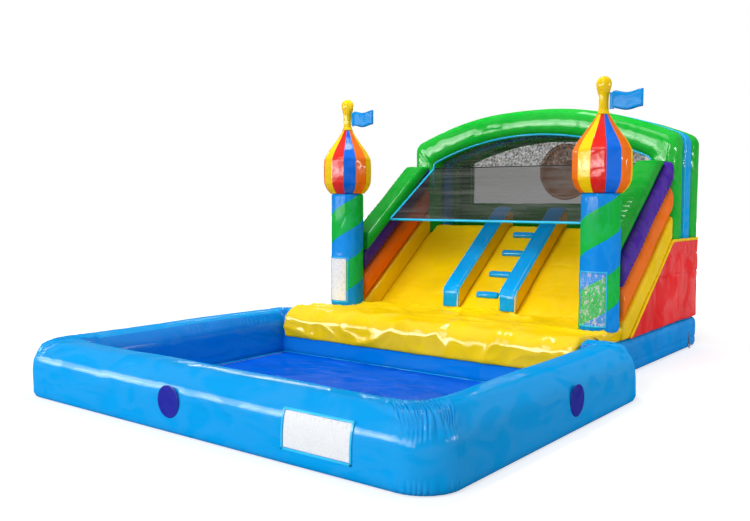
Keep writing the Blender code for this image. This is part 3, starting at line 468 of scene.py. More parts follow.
@made_once
def vinyl(name, colour, gloss=0.24, fold=1.0, scale=5.0, stretch=(1, 1, 1), low=-0.16, shine=1.0):
    """Coated fabric: tone that clouds over, soft folds with a painted highlight along their ridges, fine
    puckers and the weave's faint grain.
    """
    finish = Finish(name)
    cloud = finish.noise(1.7, 4.0, stretch)
    crease = finish.noise(scale, 5.0, stretch, 0.6)
    valley = (crease - 0.5) * (crease - 0.5)
    ridge = 1.0 - finish.ramp(valley, 0.0, 0.012)
    shade = finish.mix(finish.ramp(cloud, 0.32, 0.68), tone(colour, low), tone(colour, 0))
    # Painted highlight: the colour turns paler along the fold ridges.
    base = finish.mix(ridge * (0.10 * fold), shade, tone(colour, 0.05))
    puckers = finish.noise(scale * 5.5, 3.0, stretch, 0.3)
    grain = finish.noise(900.0, 1.0)
    height = ridge * 0.35 + crease * 1.3 + puckers * 0.12 + grain * 0.004
    finish.set(Base_Color=base, Roughness=cloud * 0.16 + (gloss - 0.06) + puckers * 0.05)
    finish.set(Normal=finish.bump(height, 0.010 * fold, 0.32))
    finish.set(Specular_IOR_Level=0.0, Coat_Roughness=0.09, Coat_IOR=COAT_IOR)
    finish.set(Coat_Weight=(ridge * 0.06 + finish.ramp(cloud, 0.35, 0.75) * 0.006 + 0.045) * shine)
    return finish.material


def cyan_piping(settings):
    return vinyl("cyan_piping_film", settings.piping_blue, 0.25, 0.4, 9.0)


def dress(obj, material, body="root", slot=None, stands_for=()):
    """Gives a piece its finish, the body it rides on, and the CAD nodes that it stands for."""
    obj.data.materials.clear()
    obj.data.materials.append(material)
    if stands_for:
        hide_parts(*stands_for)
    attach(obj, body)


def finish_node(node, material):
    """Gives a node of the frame that shows as it is its finish."""
    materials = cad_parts[node].data.materials
    materials.clear()
    materials.append(material)


# The pool.


def pool_path(half, near, far, front_radius, rear_radius, counts=(210, 150, 110)):
    """A rounded rectangle in plan, whose points match those of another with the same counts."""
    across, along, turn = counts
    arcs = []
    for x, y, radius, start in (
            (-half, near, front_radius, 180), (half, near, front_radius, 270),
            (half, far, rear_radius, 0), (-half, far, rear_radius, 90)):
        u, v = x - math.copysign(radius, x), y + (radius if y == near else -radius)
        angles = [math.radians(start + 90 * k / turn) for k in range(turn + 1)]
        arcs.append([(u + radius * math.cos(a), v + radius * math.sin(a)) for a in angles])
    path = []
    for arc, after, steps in zip(arcs, arcs[1:] + arcs[:1], (across, along, across, along)):
        path += arc + [
            tuple(a + (b - a) * k / steps for a, b in zip(arc[-1], after[0]))
            for k in range(1, steps)]
    return path


def pool_corner_folds(points):
    """Gathers that fan out of the pool's four upright corners, deepest at the top edge."""
    depth, corner = np.zeros(len(points)), 0.30
    for x in (-1, 1):
        for y, turn in ((corner, 1), (POOL_LENGTH - corner, -1)):
            away = points[:, :2] - (x * (HALF_POOL - corner), y)
            distance = np.hypot(away[:, 0], away[:, 1])
            angle = np.arctan2(away[:, 1], away[:, 0])
            near = fade(distance, 0.46, 0.24) * fade(distance, -0.02, 0.10) * fade(points[:, 2], 0.30, 0.42)
            near += 0.5 * fade(points[:, 2], 0.12, 0.04) * fade(distance, 0.2, 0.28)
            near *= fade(away[:, 0] * x, -0.30, 0.02) * fade(-away[:, 1] * turn, -0.30, 0.02)
            ripple = np.abs(np.sin(angle * 23 + 1.6 * np.sin(angle * 7 + x) + 5 * distance)) ** 0.8 - 0.8
            depth += 0.020 * near * ripple
    return depth


def pool_edge_gathers(points):
    """Small puckers along the inner edge of the wall's top, where the welded seam runs."""
    x, y, z = points.T
    from_side, from_end = HALF_POOL - np.abs(x), np.minimum(y, POOL_LENGTH - y)
    along = np.where(from_side < from_end, y, x)
    inward = np.minimum(from_side, from_end)
    edge = fade(inward, 0.24, 0.33) * fade(z, 0.30, 0.42)
    return 0.0065 * edge * (np.abs(np.sin(along * 62 + 3.5 * waves(points, 0.4, 13, 1))) - 0.7)


def calm_under_signs(points):
    """0 where a sign lies on the pool's wall and 1 away from it."""
    x, y, z = points.T
    front, side = y < 0.2, x > HALF_POOL - 0.2
    across, up = np.abs(x - SIGN_X) - SIGN_HALF[0], np.abs(z - SIGN_HEIGHT) - SIGN_HALF[1]
    pocket = fade(np.maximum(across, up), 0.012, 0.07)
    round_front, round_side = (
        fade(np.hypot(away, z - SIGN_HEIGHT), 0.125, 0.20)
        for away in (x - FRONT_PATCH_X, y - SIDE_PATCH_Y))
    return np.where(front, pocket * round_front, 1.0) * np.where(side, round_side, 1.0)


def pool_relief(points):
    long_folds = creases(points, (1.5, 1.5, 0.22), 11, 9.0) * fade(points[:, 2], 0.02, 0.2)
    top_folds = creases(points, (0.35, 0.35, 0.6), 12, 10.0) * fade(points[:, 2], 0.40, 0.46)
    return (
        0.0045 * waves(points, (1.1, 1.1, 0.5), 10, 2) + 0.004 * long_folds
        + 0.003 * top_folds + pool_corner_folds(points) + pool_edge_gathers(points))


def make_pool(settings):
    near, far = POOL_WALL, POOL_LENGTH - POOL_WALL
    outer = pool_path(HALF_POOL, 0, POOL_LENGTH, 0.26, 0.26)
    inner = pool_path(HALF_POOL - POOL_WALL, near, far, 0.25, 0.03)
    section = resampled(outline_of([
        (0, 0, WALL_FOOT_ROUNDING), (POOL_WALL, 0, WALL_FOOT_ROUNDING),
        (POOL_WALL, POOL_HEIGHT, WALL_TOP_ROUNDING), (0, POOL_HEIGHT, WALL_TOP_ROUNDING)], 10), 48, True)
    rows = []
    for (ax, ay), (bx, by) in zip(inner, outer):
        share = section[:, :1] / POOL_WALL
        place = np.array([[ax, ay]]) + share * (np.array([[bx, by]]) - [[ax, ay]])
        rows.append(np.column_stack([place, section[:, 1]]))

    def relief(points):
        x, y, z = points.T
        outside = fade(np.minimum(HALF_POOL - np.abs(x), np.minimum(y, POOL_LENGTH - y)), 0.14, 0.06)
        deep = pool_relief(points) * settings.fold_depth * calm_under_signs(points)
        return deep * fade(z, 0.0, 0.04) - outside * wall_lean(z)

    wall = loft("pool_wall_vinyl", rows, True, relief)
    blue = vinyl("sky_blue_vinyl", settings.sky_blue, 0.14, 1.2, 2.4, (1, 1, 2.2), low=-0.02)
    dress(wall, blue, slot="blue_vinyl", stands_for=["pool_wall"])
    # Painted shade: the inner faces of the wall get a darker blue than the outer ones.
    inner_blue = vinyl("pool_inner_vinyl", settings.inner_blue, 0.14, 1.2, 2.4, (1, 1, 2.2), low=-0.04)
    wall.data.materials.append(inner_blue)
    for face in wall.data.polygons:
        x, y, z = face.center - Vector((PLAN_X, PLAN_Y, 0))
        face.material_index = int(min(HALF_POOL - abs(x), y, POOL_LENGTH - y) > 0.325)

    half = HALF_POOL - POOL_WALL - 0.012
    centre = ((near + far) / 2, 0.009)
    size = (half, (far - near) / 2 - 0.012, 0.006)

    def lie(points):
        x, y, z = points.T
        reach = 0.23
        corner_x, corner_y = np.abs(x) - (size[0] - reach), -y - (size[1] - reach)
        over = np.hypot(np.maximum(corner_x, 0), np.maximum(corner_y, 0))
        pull = np.where(over > reach, reach / np.maximum(over, 1e-6), 1.0)
        x = np.where((corner_x > 0) & (corner_y > 0), np.sign(x) * (size[0] - reach + corner_x * pull), x)
        y = np.where((corner_x > 0) & (corner_y > 0), -(size[1] - reach + corner_y * pull), y)
        return np.column_stack([x, y + centre[0], z + centre[1]])

    def wrinkles(points, before):
        top = fade(before[:, 2], 0.0, 0.005) * settings.fold_depth
        streaks = np.exp(-9.0 * np.abs(waves(points, (0.55, 0.16, 1), 21, 3)))
        edge = fade(half - np.abs(points[:, 0]), 0, 0.08)
        return top * edge * (0.006 + 0.009 * streaks + 0.003 * waves(points, (0.5, 0.3, 1), 22, 2))

    floor = cushion("pool_floor_vinyl", size, (150, 110, 1), 0.005, lie, wrinkles)
    deep = vinyl("pool_floor_film", settings.deep_blue, 0.16, 1.3, 2.6, (1, 2.2, 1))
    dress(floor, deep, slot="pool_floor_vinyl", stands_for=["pool_floor"])
    seam = tube(
        "pool_floor_seam", [(x, y, 0.024) for x, y in pool_path(
            half - 0.002, near + 0.016, far - 0.014, 0.24, 0.03, (40, 30, 8))], 0.007, 8, True)
    dress(seam, blue, slot="blue_vinyl")


# The base, the landing, the bed and the panels of the body.


def make_base(settings):
    depth = (MODULE_BACK - POOL_LENGTH) / 2
    half = (HALF_MODULE, depth - 0.0005, 0.1695)

    def lay(points):
        return points + (0, (MODULE_BACK + POOL_LENGTH) / 2, 0.1705)

    def relief(points, before):
        outward = fade(np.abs(before[:, 2]), 0.165, 0.10)
        puckers = np.sin(before[:, 1] * 95) * fade(before[:, 2], 0.06, 0.14)
        bulge = 0.004 * np.cos(before[:, 2] / 0.17 * math.pi / 2)
        crease = 0.006 * np.exp(-((before[:, 2] + 0.055) / 0.012) ** 2)
        soft = 0.003 * waves(points, (0.9, 0.9, 0.3), 31, 2)
        return outward * (bulge - crease + soft + 0.0012 * puckers) * settings.fold_depth

    base = cushion("base_mattress_vinyl", half, (80, 70, 16), 0.06, lay, relief)
    low = vinyl("base_blue_vinyl", settings.base_blue, 0.26, 1.0, 4.0)
    dress(base, low, slot="blue_vinyl", stands_for=["base_mattress"])


def landing_outline():
    """The pad from the side: it covers the ground frame and hangs over the pool's rear wall."""
    wall_front = POOL_LENGTH - POOL_WALL
    lap = POOL_HEIGHT + SEAM
    skin = 0.022
    drop = LANDING_TOP - 0.26
    crown = lap + skin
    return outline_of([
        (BED_FOOT - SEAM, BASE_TOP, 0), (BED_FOOT - SEAM, LANDING_TOP, 0),
        (POOL_LENGTH + 0.20, LANDING_TOP, 0.20), (POOL_LENGTH - 0.05, crown, 0.20),
        (wall_front - SEAM - skin, crown, 0.182), (wall_front - SEAM - skin, drop, 0.008),
        (wall_front - SEAM, drop, 0.008), (wall_front - SEAM, lap, 0.16),
        (POOL_LENGTH, lap, 0), (POOL_LENGTH, BASE_TOP, 0)], 12)


def make_landing(settings):
    """The pad, whose rear corners stop short where the towers and the side walls stand."""
    width = HALF_POOL - POOL_WALL - 0.035
    step = LANE_SIDE - SEAM
    rounding = 0.009
    outline = resampled(landing_outline(), 190, True)
    inward = np.roll(outline, -1, 0) - np.roll(outline, 1, 0)
    inward /= np.linalg.norm(inward, axis=1)[:, None]
    inward = np.column_stack([-inward[:, 1], inward[:, 0]])
    area = np.sum(outline[:, 0] * np.roll(outline[:, 1], -1) - np.roll(outline[:, 0], -1) * outline[:, 1])
    inward *= 1 if area > 0 else -1
    places = np.concatenate([
        -width + rounding * (1 - np.cos(np.linspace(0, math.pi / 2, 5))),
        np.linspace(-width + 0.03, -step - 0.02, 8), (-step - 0.0002, -step),
        np.linspace(-step + 0.01, step - 0.01, 130), (step, step + 0.0002),
        np.linspace(step + 0.02, width - 0.03, 8),
        width - rounding * (1 - np.cos(np.linspace(math.pi / 2, 0, 5)))])
    rows = []
    for x in places:
        edge = max(rounding - (width - abs(x)), 0) / rounding
        pull = rounding * (1 - math.sqrt(max(1 - edge * edge, 0)))
        place = outline + inward * pull
        if abs(x) > step:
            place[:, 0] = np.minimum(place[:, 0], WALL_START - SEAM)
        rows.append(np.column_stack([np.full(len(place), x), place]))

    def relief(points):
        x, y, z = points.T
        top = fade(z, BASE_TOP + 0.03, BASE_TOP + 0.09) * fade(y, BED_FOOT, BED_FOOT - 0.10)
        front = fade(y, 2.95, 2.80) * fade(z, 0.17, 0.24)
        rucks = -creases(points, (0.60, 0.38, 0.50), 41, 3.2)
        small = -creases(points, (0.26, 0.20, 0.24), 45, 4.0)
        swell = waves(points, (0.42, 0.30, 0.5), 43, 2)
        hang = np.sin(x * 24 + 1.8 * np.sin(x * 5)) * front
        outer = np.maximum(top, front)
        fan = np.zeros(len(points))
        for middle in RAIL_MIDDLES:
            away_x, away_y = x - middle, BED_FOOT + 0.05 - y
            turn = np.arctan2(away_x, away_y)
            reach = np.hypot(away_x, away_y)
            ridge = (1 - np.abs(np.sin(turn * 5 + 1.6 * waves(points, (0.6, 0.6, 0.6), 44, 1)))) ** 2.0
            fan = np.maximum(fan, ridge * fade(reach, 1.35, 0.30) * fade(reach, 0.05, 0.16))
        return settings.fold_depth * outer * (
            0.033 * rucks + 0.012 * small + 0.026 * fan + 0.004 * swell + 0.005 * hang)

    pad = loft("landing_vinyl", rows, False, relief)
    yellow = vinyl("landing_yellow_vinyl", settings.yellow, 0.16, 0.8, 1.8, shine=1.6)
    dress(pad, yellow, slot="yellow_vinyl", stands_for=["landing_pad"])


def make_bed(settings):
    """The sloping bed with three welded seams across it, and the deck behind it."""
    crest_y = HOUSE_FRONT + (CREST - PLATFORM) / SLOPE
    run = [(BED_FOOT + 0.004, bed_height(BED_FOOT)), (crest_y, CREST), (BED_BACK, CREST)]
    top = resampled(run, 240)
    for _ in range(60):
        top[1:-1] = (top[:-2] + 2 * top[1:-1] + top[2:]) / 4
    half = (LANE_SIDE - SEAM, 0.5, 0.08)
    drop = 0.16 / math.cos(SLOPE_ANGLE)
    steps = run_of(top)

    def lie(points):
        x, y, z = points.T
        place = (y / (2 * half[1]) + 0.5) * steps[-1]
        along, height = np.interp(place, steps, top[:, 0]), np.interp(place, steps, top[:, 1])
        under = np.maximum(np.minimum(height - drop, PLATFORM - DECK_DEPTH), BASE_TOP)
        share = z / (2 * half[2]) + 0.5
        return np.column_stack([x, along, under + share * (height - under)])

    def relief(points, before):
        x, y, z = points.T
        top_side = fade(before[:, 2], 0.03, 0.075)
        lane_edge = fade(LANE_SIDE - np.abs(x), 0.0, 0.12)
        seams = sum(np.exp(-((y - place) / 0.012) ** 2) for place in (4.36, 4.72, 5.02))
        dents = creases(points, (0.5, 0.22, 0.3), 51, 8.0)
        low = fade(z, 1.0, 0.5)
        ruffles = creases(points, (0.16, 0.5, 0.5), 54, 5.0) * low
        soft = waves(points, (0.45, 0.5, 0.4), 52, 2)
        return top_side * lane_edge * settings.fold_depth * (
            0.004 * soft + 0.006 * dents + 0.010 * ruffles - 0.004 * seams - 0.002)

    bed = cushion("slide_bed_vinyl", half, (110, 90, 3), 0.012, lie, relief)
    yellow = vinyl("slide_yellow_vinyl", settings.yellow, 0.16, 0.9, 4.0)
    dress(bed, yellow, slot="yellow_vinyl", stands_for=["slide_bed"])
    back = MODULE_BACK - BED_BACK - SEAM
    middle = (BED_BACK + SEAM + MODULE_BACK) / 2

    def shelf(points):
        return points + (0, middle, PLATFORM - DECK_DEPTH / 2)

    def sag(points, before):
        return 0.003 * waves(points, (0.4, 0.3, 0.3), 53, 2) * fade(np.abs(before[:, 1]), back / 2, 0)

    deck = cushion(
        "platform_deck_vinyl", (LANE_SIDE - SEAM, back / 2, 0.0622), (60, 12, 3), 0.02, shelf, sag)
    dress(deck, yellow, slot="yellow_vinyl", stands_for=["platform_deck"])


def panel_relief(depth, seams, seed):
    """Welded horizontal seams, upright puckers under the upper one, and soft lumps."""

    def relief(points, before):
        z = points[:, 2]
        run = points[:, 1] + points[:, 0]
        grooves = sum(np.exp(-((z - place) / 0.010) ** 2) for place in seams)
        gather = fade(z, seams[-1] - 0.30, seams[-1] + 0.04)
        folds = np.abs(np.sin(run * 14 + 2.6 * waves(points, (0.30, 0.30, 0.5), seed, 2)))
        swell = waves(points, (0.42, 0.42, 0.50), seed + 1, 2)
        crease = creases(points, (0.30, 0.30, 0.55), seed + 2, 8.0)
        return depth * (0.007 * swell + 0.005 * crease - 0.010 * grooves - 0.016 * gather * (1 - folds) ** 2)

    return relief


def make_panels(settings):
    red = vinyl("red_panel_vinyl", settings.red, 0.20, 0.7, 2.0, low=-0.22, shine=2.4)
    foot = bed_place(BASE_TOP)
    length = MODULE_BACK - foot
    half = (WALL_WIDTH / 2, length / 2, 0.44)
    seams = (1.06, 0.86)
    pieces = []
    for side, sign in (("left", -1), ("right", 1)):

        def stand(points, sign=sign):
            x, y, z = points.T
            along = y + (foot + MODULE_BACK) / 2
            top = np.minimum(bed_height(along), PLATFORM)
            share = z / (2 * half[2]) + 0.5
            return np.column_stack([
                x + sign * (HALF_MODULE - WALL_WIDTH / 2), along, BASE_TOP + share * (top - BASE_TOP)])

        def relief(points, before, sign=sign):
            outward = fade(points[:, 0] * sign, LANE_SIDE + 0.06, HALF_MODULE - 0.02)
            inset = fade(points[:, 1], foot + 0.05, foot + 0.45)
            return panel_relief(settings.fold_depth, seams, 61)(points, before) * outward * inset

        panel = cushion(side + "_side_panel_vinyl", half, (6, 110, 54), 0.028, stand, relief)
        dress(panel, red, slot="red_vinyl", stands_for=[side + "_side_panel"])
        edge = [(foot + 0.02, BASE_TOP + 0.012), (HOUSE_FRONT, PLATFORM),
                (MODULE_BACK - 0.03, PLATFORM)]
        path = [(sign * (HALF_MODULE - 0.008), y, z - 0.006) for y, z in resampled(edge, 60)]
        pieces.append(tube(side + "_panel_piping", path, 0.017))

        def lie(points, sign=sign):
            x, y, z = points.T
            along = y + (foot + MODULE_BACK) / 2
            return np.column_stack([
                x + sign * (HALF_MODULE - WALL_WIDTH / 2 - 0.010), along,
                np.minimum(bed_height(along), PLATFORM) + 0.0035 + z])

        pieces.append(cushion(
            side + "_weld_strip", (WALL_WIDTH / 2 + 0.009, length / 2 - 0.01, 0.003),
            (5, 90, 1), 0.0025, lie))
    yellow = vinyl("yellow_piping_film", settings.yellow, 0.22, 0.3, 9.0)
    for piece in pieces:
        dress(piece, yellow, slot="yellow_vinyl")
    top = PLATFORM - DECK_DEPTH - SEAM
    rear_half = (LANE_SIDE - SEAM, 0.06, (top - BASE_TOP) / 2)

    def rear(points):
        return points + (0, MODULE_BACK - 0.06, (top + BASE_TOP) / 2)

    def rear_relief(points, before):
        outward = fade(before[:, 1], 0.02, 0.055)
        calm = 1 - 0.8 * fade(np.abs(points[:, 2] - ZIP_HEIGHT), 0.10, 0.04)
        return outward * calm * panel_relief(settings.fold_depth, (1.02, 0.90), 63)(points, before)

    panel = cushion("rear_panel_vinyl", rear_half, (110, 3, 34), 0.02, rear, rear_relief)
    dress(panel, red, slot="red_vinyl", stands_for=["rear_panel"])
    webs = vinyl("baffle_web_fabric", (0.30, 0.31, 0.33), 0.5, 0.4, 6.0)
    for number in (1, 2, 3):
        finish_node(f"inner_baffle_{number}", webs)


# The side walls and the arched house.

# Colour, height, width and how far in from the outer face each tube stands, from the foot up.
TUBES = (
    ("yellow", 0.215, WALL_WIDTH, 0.0),
    ("orange", 0.260, WALL_WIDTH, 0.0),
    ("purple", 0.200, WALL_WIDTH, 0.0),
    ("green", 0.160, 0.26, 0.07),
)


def make_side_walls(settings):
    # Painted shade: the green tubes get a darker copy of the ribs' green.
    colours = {
        "yellow": settings.yellow, "orange": settings.orange, "purple": settings.purple,
        "green": tone(settings.green, -0.20)}
    floor = 0.0
    for colour, height, width, inset in TUBES:
        rise = height / math.cos(SLOPE_ANGLE)
        half = (width / 2, 0.55, height / 2)
        finish = vinyl(colour + "_wall_vinyl", colours[colour], 0.20, 0.9, 5.0)
        pucker = 0.0055 if colour == "purple" else 0.0022
        for side, sign in (("left", -1), ("right", 1)):

            def stack(points, sign=sign, half=half, floor=floor, rise=rise, width=width, inset=inset):
                x, y, z = points.T
                share, across = y / (2 * half[1]) + 0.5, z / height + 0.5
                lift = floor + across * rise
                start = np.maximum(WALL_START, bed_place(BASE_TOP + 0.001 - lift))
                end = np.minimum(HOUSE_FRONT - SEAM, bed_place(TUBE_CEILING - lift))
                along = start + share * (end - start)
                return np.column_stack([
                    x + sign * (HALF_MODULE - inset - width / 2), along, bed_height(along) + lift])

            def relief(points, before, sign=sign, half=half):
                across = before[:, 2] / half[2]
                edge = fade(np.abs(across), 0.25, 0.8)
                run = points[:, 1] + points[:, 2] * SLOPE
                gather = np.sin(run * 70 + 3 * waves(points, (9, 0.5, 0.5), 71, 1)) * edge
                lumps = waves(points, (0.3, 0.45, 0.3), 72, 2)
                ends = fade(half[1] - np.abs(before[:, 1]), 0.0, 0.03)
                inner = 0.4 + 0.6 * fade(points[:, 0] * sign, LANE_SIDE, HALF_MODULE)
                return ends * inner * settings.fold_depth * (
                    pucker * gather + 0.003 * lumps - 0.002)

            swell = (0.20 if colour == "yellow" else 0.40) * height
            wall = cushion(
                f"{side}_{colour}_tube_vinyl", half, (9, 70, 8), (swell, 0.03, swell), stack, relief)
            dress(
                wall, finish, slot=colour + "_vinyl",
                stands_for=[f"{side}_{colour}_tube"])
        floor += rise


def arch_radius(reach, spring, crown):
    return (reach ** 2 + (crown - spring) ** 2) / (2 * (crown - spring))


def arch_height(x):
    """How high the ribs' inner face is over this x."""
    radius = arch_radius(LANE_SIDE, INNER_SPRING, INNER_CROWN)
    return INNER_CROWN - radius + np.sqrt(radius ** 2 - np.asarray(x) ** 2)


def arch_path(reach, foot, spring, crown, cut):
    """Up the left post, over the arch and down the right post; cut is where its corners begin."""
    post, corner, over = 18, 7, 46
    radius = arch_radius(reach, spring, crown)
    start = math.asin(reach / radius) - cut / radius
    left = [(-reach, foot + (spring - cut - foot) * k / post) for k in range(post)]
    first = Vector((-reach, spring - cut))
    last = Vector((-radius * math.sin(start), crown - radius + radius * math.cos(start)))
    pivot = Vector((-reach, spring))
    for k in range(corner):
        t = k / corner
        left.append(tuple(first * (1 - t) ** 2 + pivot * 2 * t * (1 - t) + last * t * t))
    arch = []
    for k in range(over + 1):
        angle = -start + 2 * start * k / over
        arch.append((radius * math.sin(angle), crown - radius + radius * math.cos(angle)))
    return left + arch + [(-x, z) for x, z in left[::-1]]


def squarish(sides, power):
    """A circle whose points are pushed out towards the corners of a square, as two arrays."""
    turns = circle(sides)
    return [np.sign(part) * np.abs(part) ** power for part in (np.cos(turns), np.sin(turns))]


def make_house(settings):
    foot = PLATFORM + SEAM
    outer = arch_path(HALF_MODULE, foot, OUTER_SPRING, OUTER_CROWN, 0.088)
    inner = arch_path(LANE_SIDE, foot, INNER_SPRING, INNER_CROWN, 0.055)
    shares, across = squarish(36, 0.62)
    shares, across = shares / 2 + 0.5, across / 2
    green = vinyl("green_tube_vinyl", settings.green, 0.20, 0.9, 5.0)
    blue = vinyl("sky_blue_vinyl", settings.sky_blue)
    y = HOUSE_FRONT
    for name, depth, finish, slot in (
            ("front_rib", 0.32, green, "green_vinyl"), ("middle_rib", 0.27, blue, "blue_vinyl"),
            ("rear_rib", 0.27, green, "green_vinyl")):
        rows = []
        for (ax, az), (bx, bz) in zip(inner, outer):
            rows.append(np.column_stack([
                ax + shares * (bx - ax), y + depth / 2 + across * (depth - SEAM),
                az + shares * (bz - az)]))

        def relief(points, y=y, depth=depth):
            place = np.abs(points[:, 1] - y - depth / 2) / (depth / 2)
            seam = fade(place, 0.45, 0.95)
            run = points[:, 0] * 1.0 + points[:, 2] * 0.8
            gather = np.sin(run * 62 + 3 * waves(points, (0.5, 9, 0.5), 81, 1)) * seam
            folds = creases(points, (0.45, 0.5, 0.45), 82, 9.0)
            swell = waves(points, (0.6, 0.5, 0.6), 83, 2)
            still = fade(points[:, 2], foot, foot + 0.05)
            return still * settings.fold_depth * (
                0.0030 * gather + 0.003 * swell + 0.003 * folds - 0.001)

        rib = loft(name + "_vinyl", rows, False, relief)
        dress(rib, finish, slot=slot, stands_for=[name])
        y += depth
    piping = cyan_piping(settings)
    for name, share, back, cut, radius in (
            ("arch_piping", 0.03, 0.055, 12, 0.012), ("rib_seam_piping", 0.985, 0.32, 1, 0.008)):
        path = [(ax + share * (bx - ax), HOUSE_FRONT + back, az + share * (bz - az))
                for (ax, az), (bx, bz) in zip(inner, outer)]
        dress(tube(name, path[cut:-cut], radius), piping, slot="blue_vinyl")
    make_back_wall(settings)


def opening_path(half, low, shoulder, over):
    """Round an opening from its low left corner: along its foot, up, over its arch and down."""
    shares, ups = np.arange(70) / 35 - 1, np.arange(24) / 24
    return (
        [(half * share, low) for share in shares]
        + [(half, low + up * (shoulder - low)) for up in ups]
        + [(-half * share, float(over(half * share))) for share in shares]
        + [(-half, low + (1 - up) * (shoulder - low)) for up in ups])


def make_back_wall(settings):
    """The low wall across the house's back, in one piece with the frame of its window."""
    reach, foot, sill, half = LANE_SIDE - SEAM, PLATFORM + SEAM, WINDOW_SILL, WINDOW_SIDE

    def under_rib(x):
        return np.minimum(arch_height(x) - 0.0012, 2.384)

    def window_top(x):
        return arch_height(x) - 0.0012 - 0.04

    frame_path = opening_path(reach, foot, 2.07, under_rib)
    window_path = opening_path(half, sill, window_top(half), window_top)
    shares, across = squarish(24, 0.5)
    shares, across = shares / 2 + 0.5, across * 0.0375
    rows = []
    for (ax, az), (bx, bz) in zip(window_path, frame_path):
        rows.append(np.column_stack([
            ax + shares * (bx - ax), REAR_RIB_MIDDLE + across, az + shares * (bz - az)]))

    def relief(points):
        return settings.fold_depth * (
            0.003 * waves(points, (0.3, 0.3, 0.2), 91, 2) + 0.003 * creases(points, 0.35, 92, 9.0))

    wall = loft("back_wall_vinyl", rows, True, relief)
    # Painted shade: the back wall inside the house is a darker copy of the ribs' green.
    dark = vinyl("dark_green_vinyl", tone(settings.green, -0.45)[:3], 0.30, 1.0, 5.0)
    dress(wall, dark, slot="green_vinyl", stands_for=["back_wall"])


# Nets.


@made_once
def mesh_fabric(name, colour, cover, streak, seed_scale, cells=150.0, speckle=0.16):
    """Knitted mesh: the holes show as a steady share of see-through, with streaks where it creases, denser
    there and painted paler as a highlight.
    """
    finish = Finish(name)
    band = finish.noise(seed_scale, 5.0, (0.20, 1, 4.5), 0.5)
    cell = finish.noise(cells, 2.0)
    lines = finish.ramp(band, 0.42, 0.68)
    # Painted highlight: the crease streaks are paler than the rest of the mesh.
    finish.set(
        Base_Color=finish.mix(lines, tone(colour, -0.2), tone(colour, streak)),
        Alpha=finish.ramp(lines * 0.10 + cell * speckle + cover, 0.0, 1.0),
        Roughness=0.75, Specular_IOR_Level=0.08,
        Normal=finish.bump(band + cell * 0.15, 0.003, 0.5))
    finish.material.surface_render_method = "DITHERED"
    return finish.material


def net_sheet(name, across, up, place, sag, material, nodes):
    """One layer of mesh fabric between its hems; sag(u, v, points) moves it off its straight place."""
    u, v = np.meshgrid(np.linspace(0, 1, across + 1), np.linspace(0, 1, up + 1))
    u, v = u.ravel(), v.ravel()
    points = place(u, v)
    points = points + sag(u, v, points)
    net = new_object(name, points, grid_faces(up + 1, across + 1))
    dress(net, material, slot="net_mesh", stands_for=nodes)


def make_nets(settings):
    dark = mesh_fabric("dark_net", settings.net_brown, 0.58, 0.05, 5.0)
    speckled = mesh_fabric("speckled_net", settings.net_brown, -0.62, 0.05, 5.0, 42.0, 2.2)
    pale = mesh_fabric("pale_net", (0.62, 0.66, 0.76), 0.40, 0.30, 7.0)
    reach = HALF_MODULE - 0.33 - SEAM
    low, high = np.array((4.15, 1.41)), np.array((5.08, 2.035))

    def canopy(u, v):
        return np.column_stack([
            reach * (2 * u - 1), low[0] + v * (high[0] - low[0]), low[1] + v * (high[1] - low[1])])

    def canopy_sag(u, v, points):
        middle = np.sin(math.pi * u) * np.sin(math.pi * v)
        pulls = waves(points, (1.6, 0.10, 0.10), 101, 2) * np.minimum(middle * 3, 1)
        drop = -0.012 * middle * settings.net_sag + 0.004 * pulls
        return np.column_stack([np.zeros_like(u), -0.5 * drop, drop])

    net_sheet(
        "canopy_net_mesh", 90, 44, canopy, canopy_sag, dark, ["canopy_net"])
    half = LANE_SIDE - 0.08
    y, foot = HOUSE_FRONT + 0.12, 2.045

    def under_arch(u, v):
        x = half * (2 * u - 1)
        top = arch_height(x) - 0.0015
        return np.column_stack([x, np.full_like(x, y), foot + v * (top - foot)])

    def still(u, v, points):
        wave = 0.003 * waves(points, (0.8, 9, 0.12), 102, 2) * np.sin(math.pi * v)
        return np.column_stack([0 * u, wave, 0 * u])

    net_sheet(
        "arch_net_mesh", 80, 14, under_arch, still, speckled, ["arch_net"])
    side, sill = WINDOW_SIDE - SEAM, WINDOW_SILL + SEAM

    def window(u, v):
        x = side * (2 * u - 1)
        top = arch_height(x) - 0.0415
        return np.column_stack([x, np.full_like(x, REAR_RIB_MIDDLE), sill + v * (top - sill)])

    def creased(u, v, points):
        inside = np.sin(math.pi * u) * np.sin(math.pi * v)
        wave = 0.006 * waves(points, (1.0, 9, 0.11), 103, 3) * np.minimum(inside * 3, 1)
        return np.column_stack([0 * u, wave + 0.006 * np.minimum(inside * 2, 1), 0 * u])

    net_sheet(
        "window_net_mesh", 90, 36, window, creased, pale, ["window_net"])
    piping = cyan_piping(settings)
    hems = [("low", [(x, low[0] - 0.002, low[1]) for x in np.linspace(-reach, reach, 40)])]
    for name, x in (("left", 0.006 - reach), ("right", reach - 0.006)):
        hems.append((name, [(x, *(low + (high - low) * v)) for v in np.linspace(0, 1, 24)]))
    for name, path in hems:
        dress(tube(f"canopy_{name}_hem", path, 0.013), piping, slot="blue_vinyl")
    seam = tube("canopy_top_seam", [(x, 5.066, 2.030) for x in np.linspace(-reach, reach, 40)], 0.006)
    dress(seam, vinyl("seam_tape", (0.010, 0.012, 0.014), 0.5, 0.3, 9.0), slot="net_mesh")


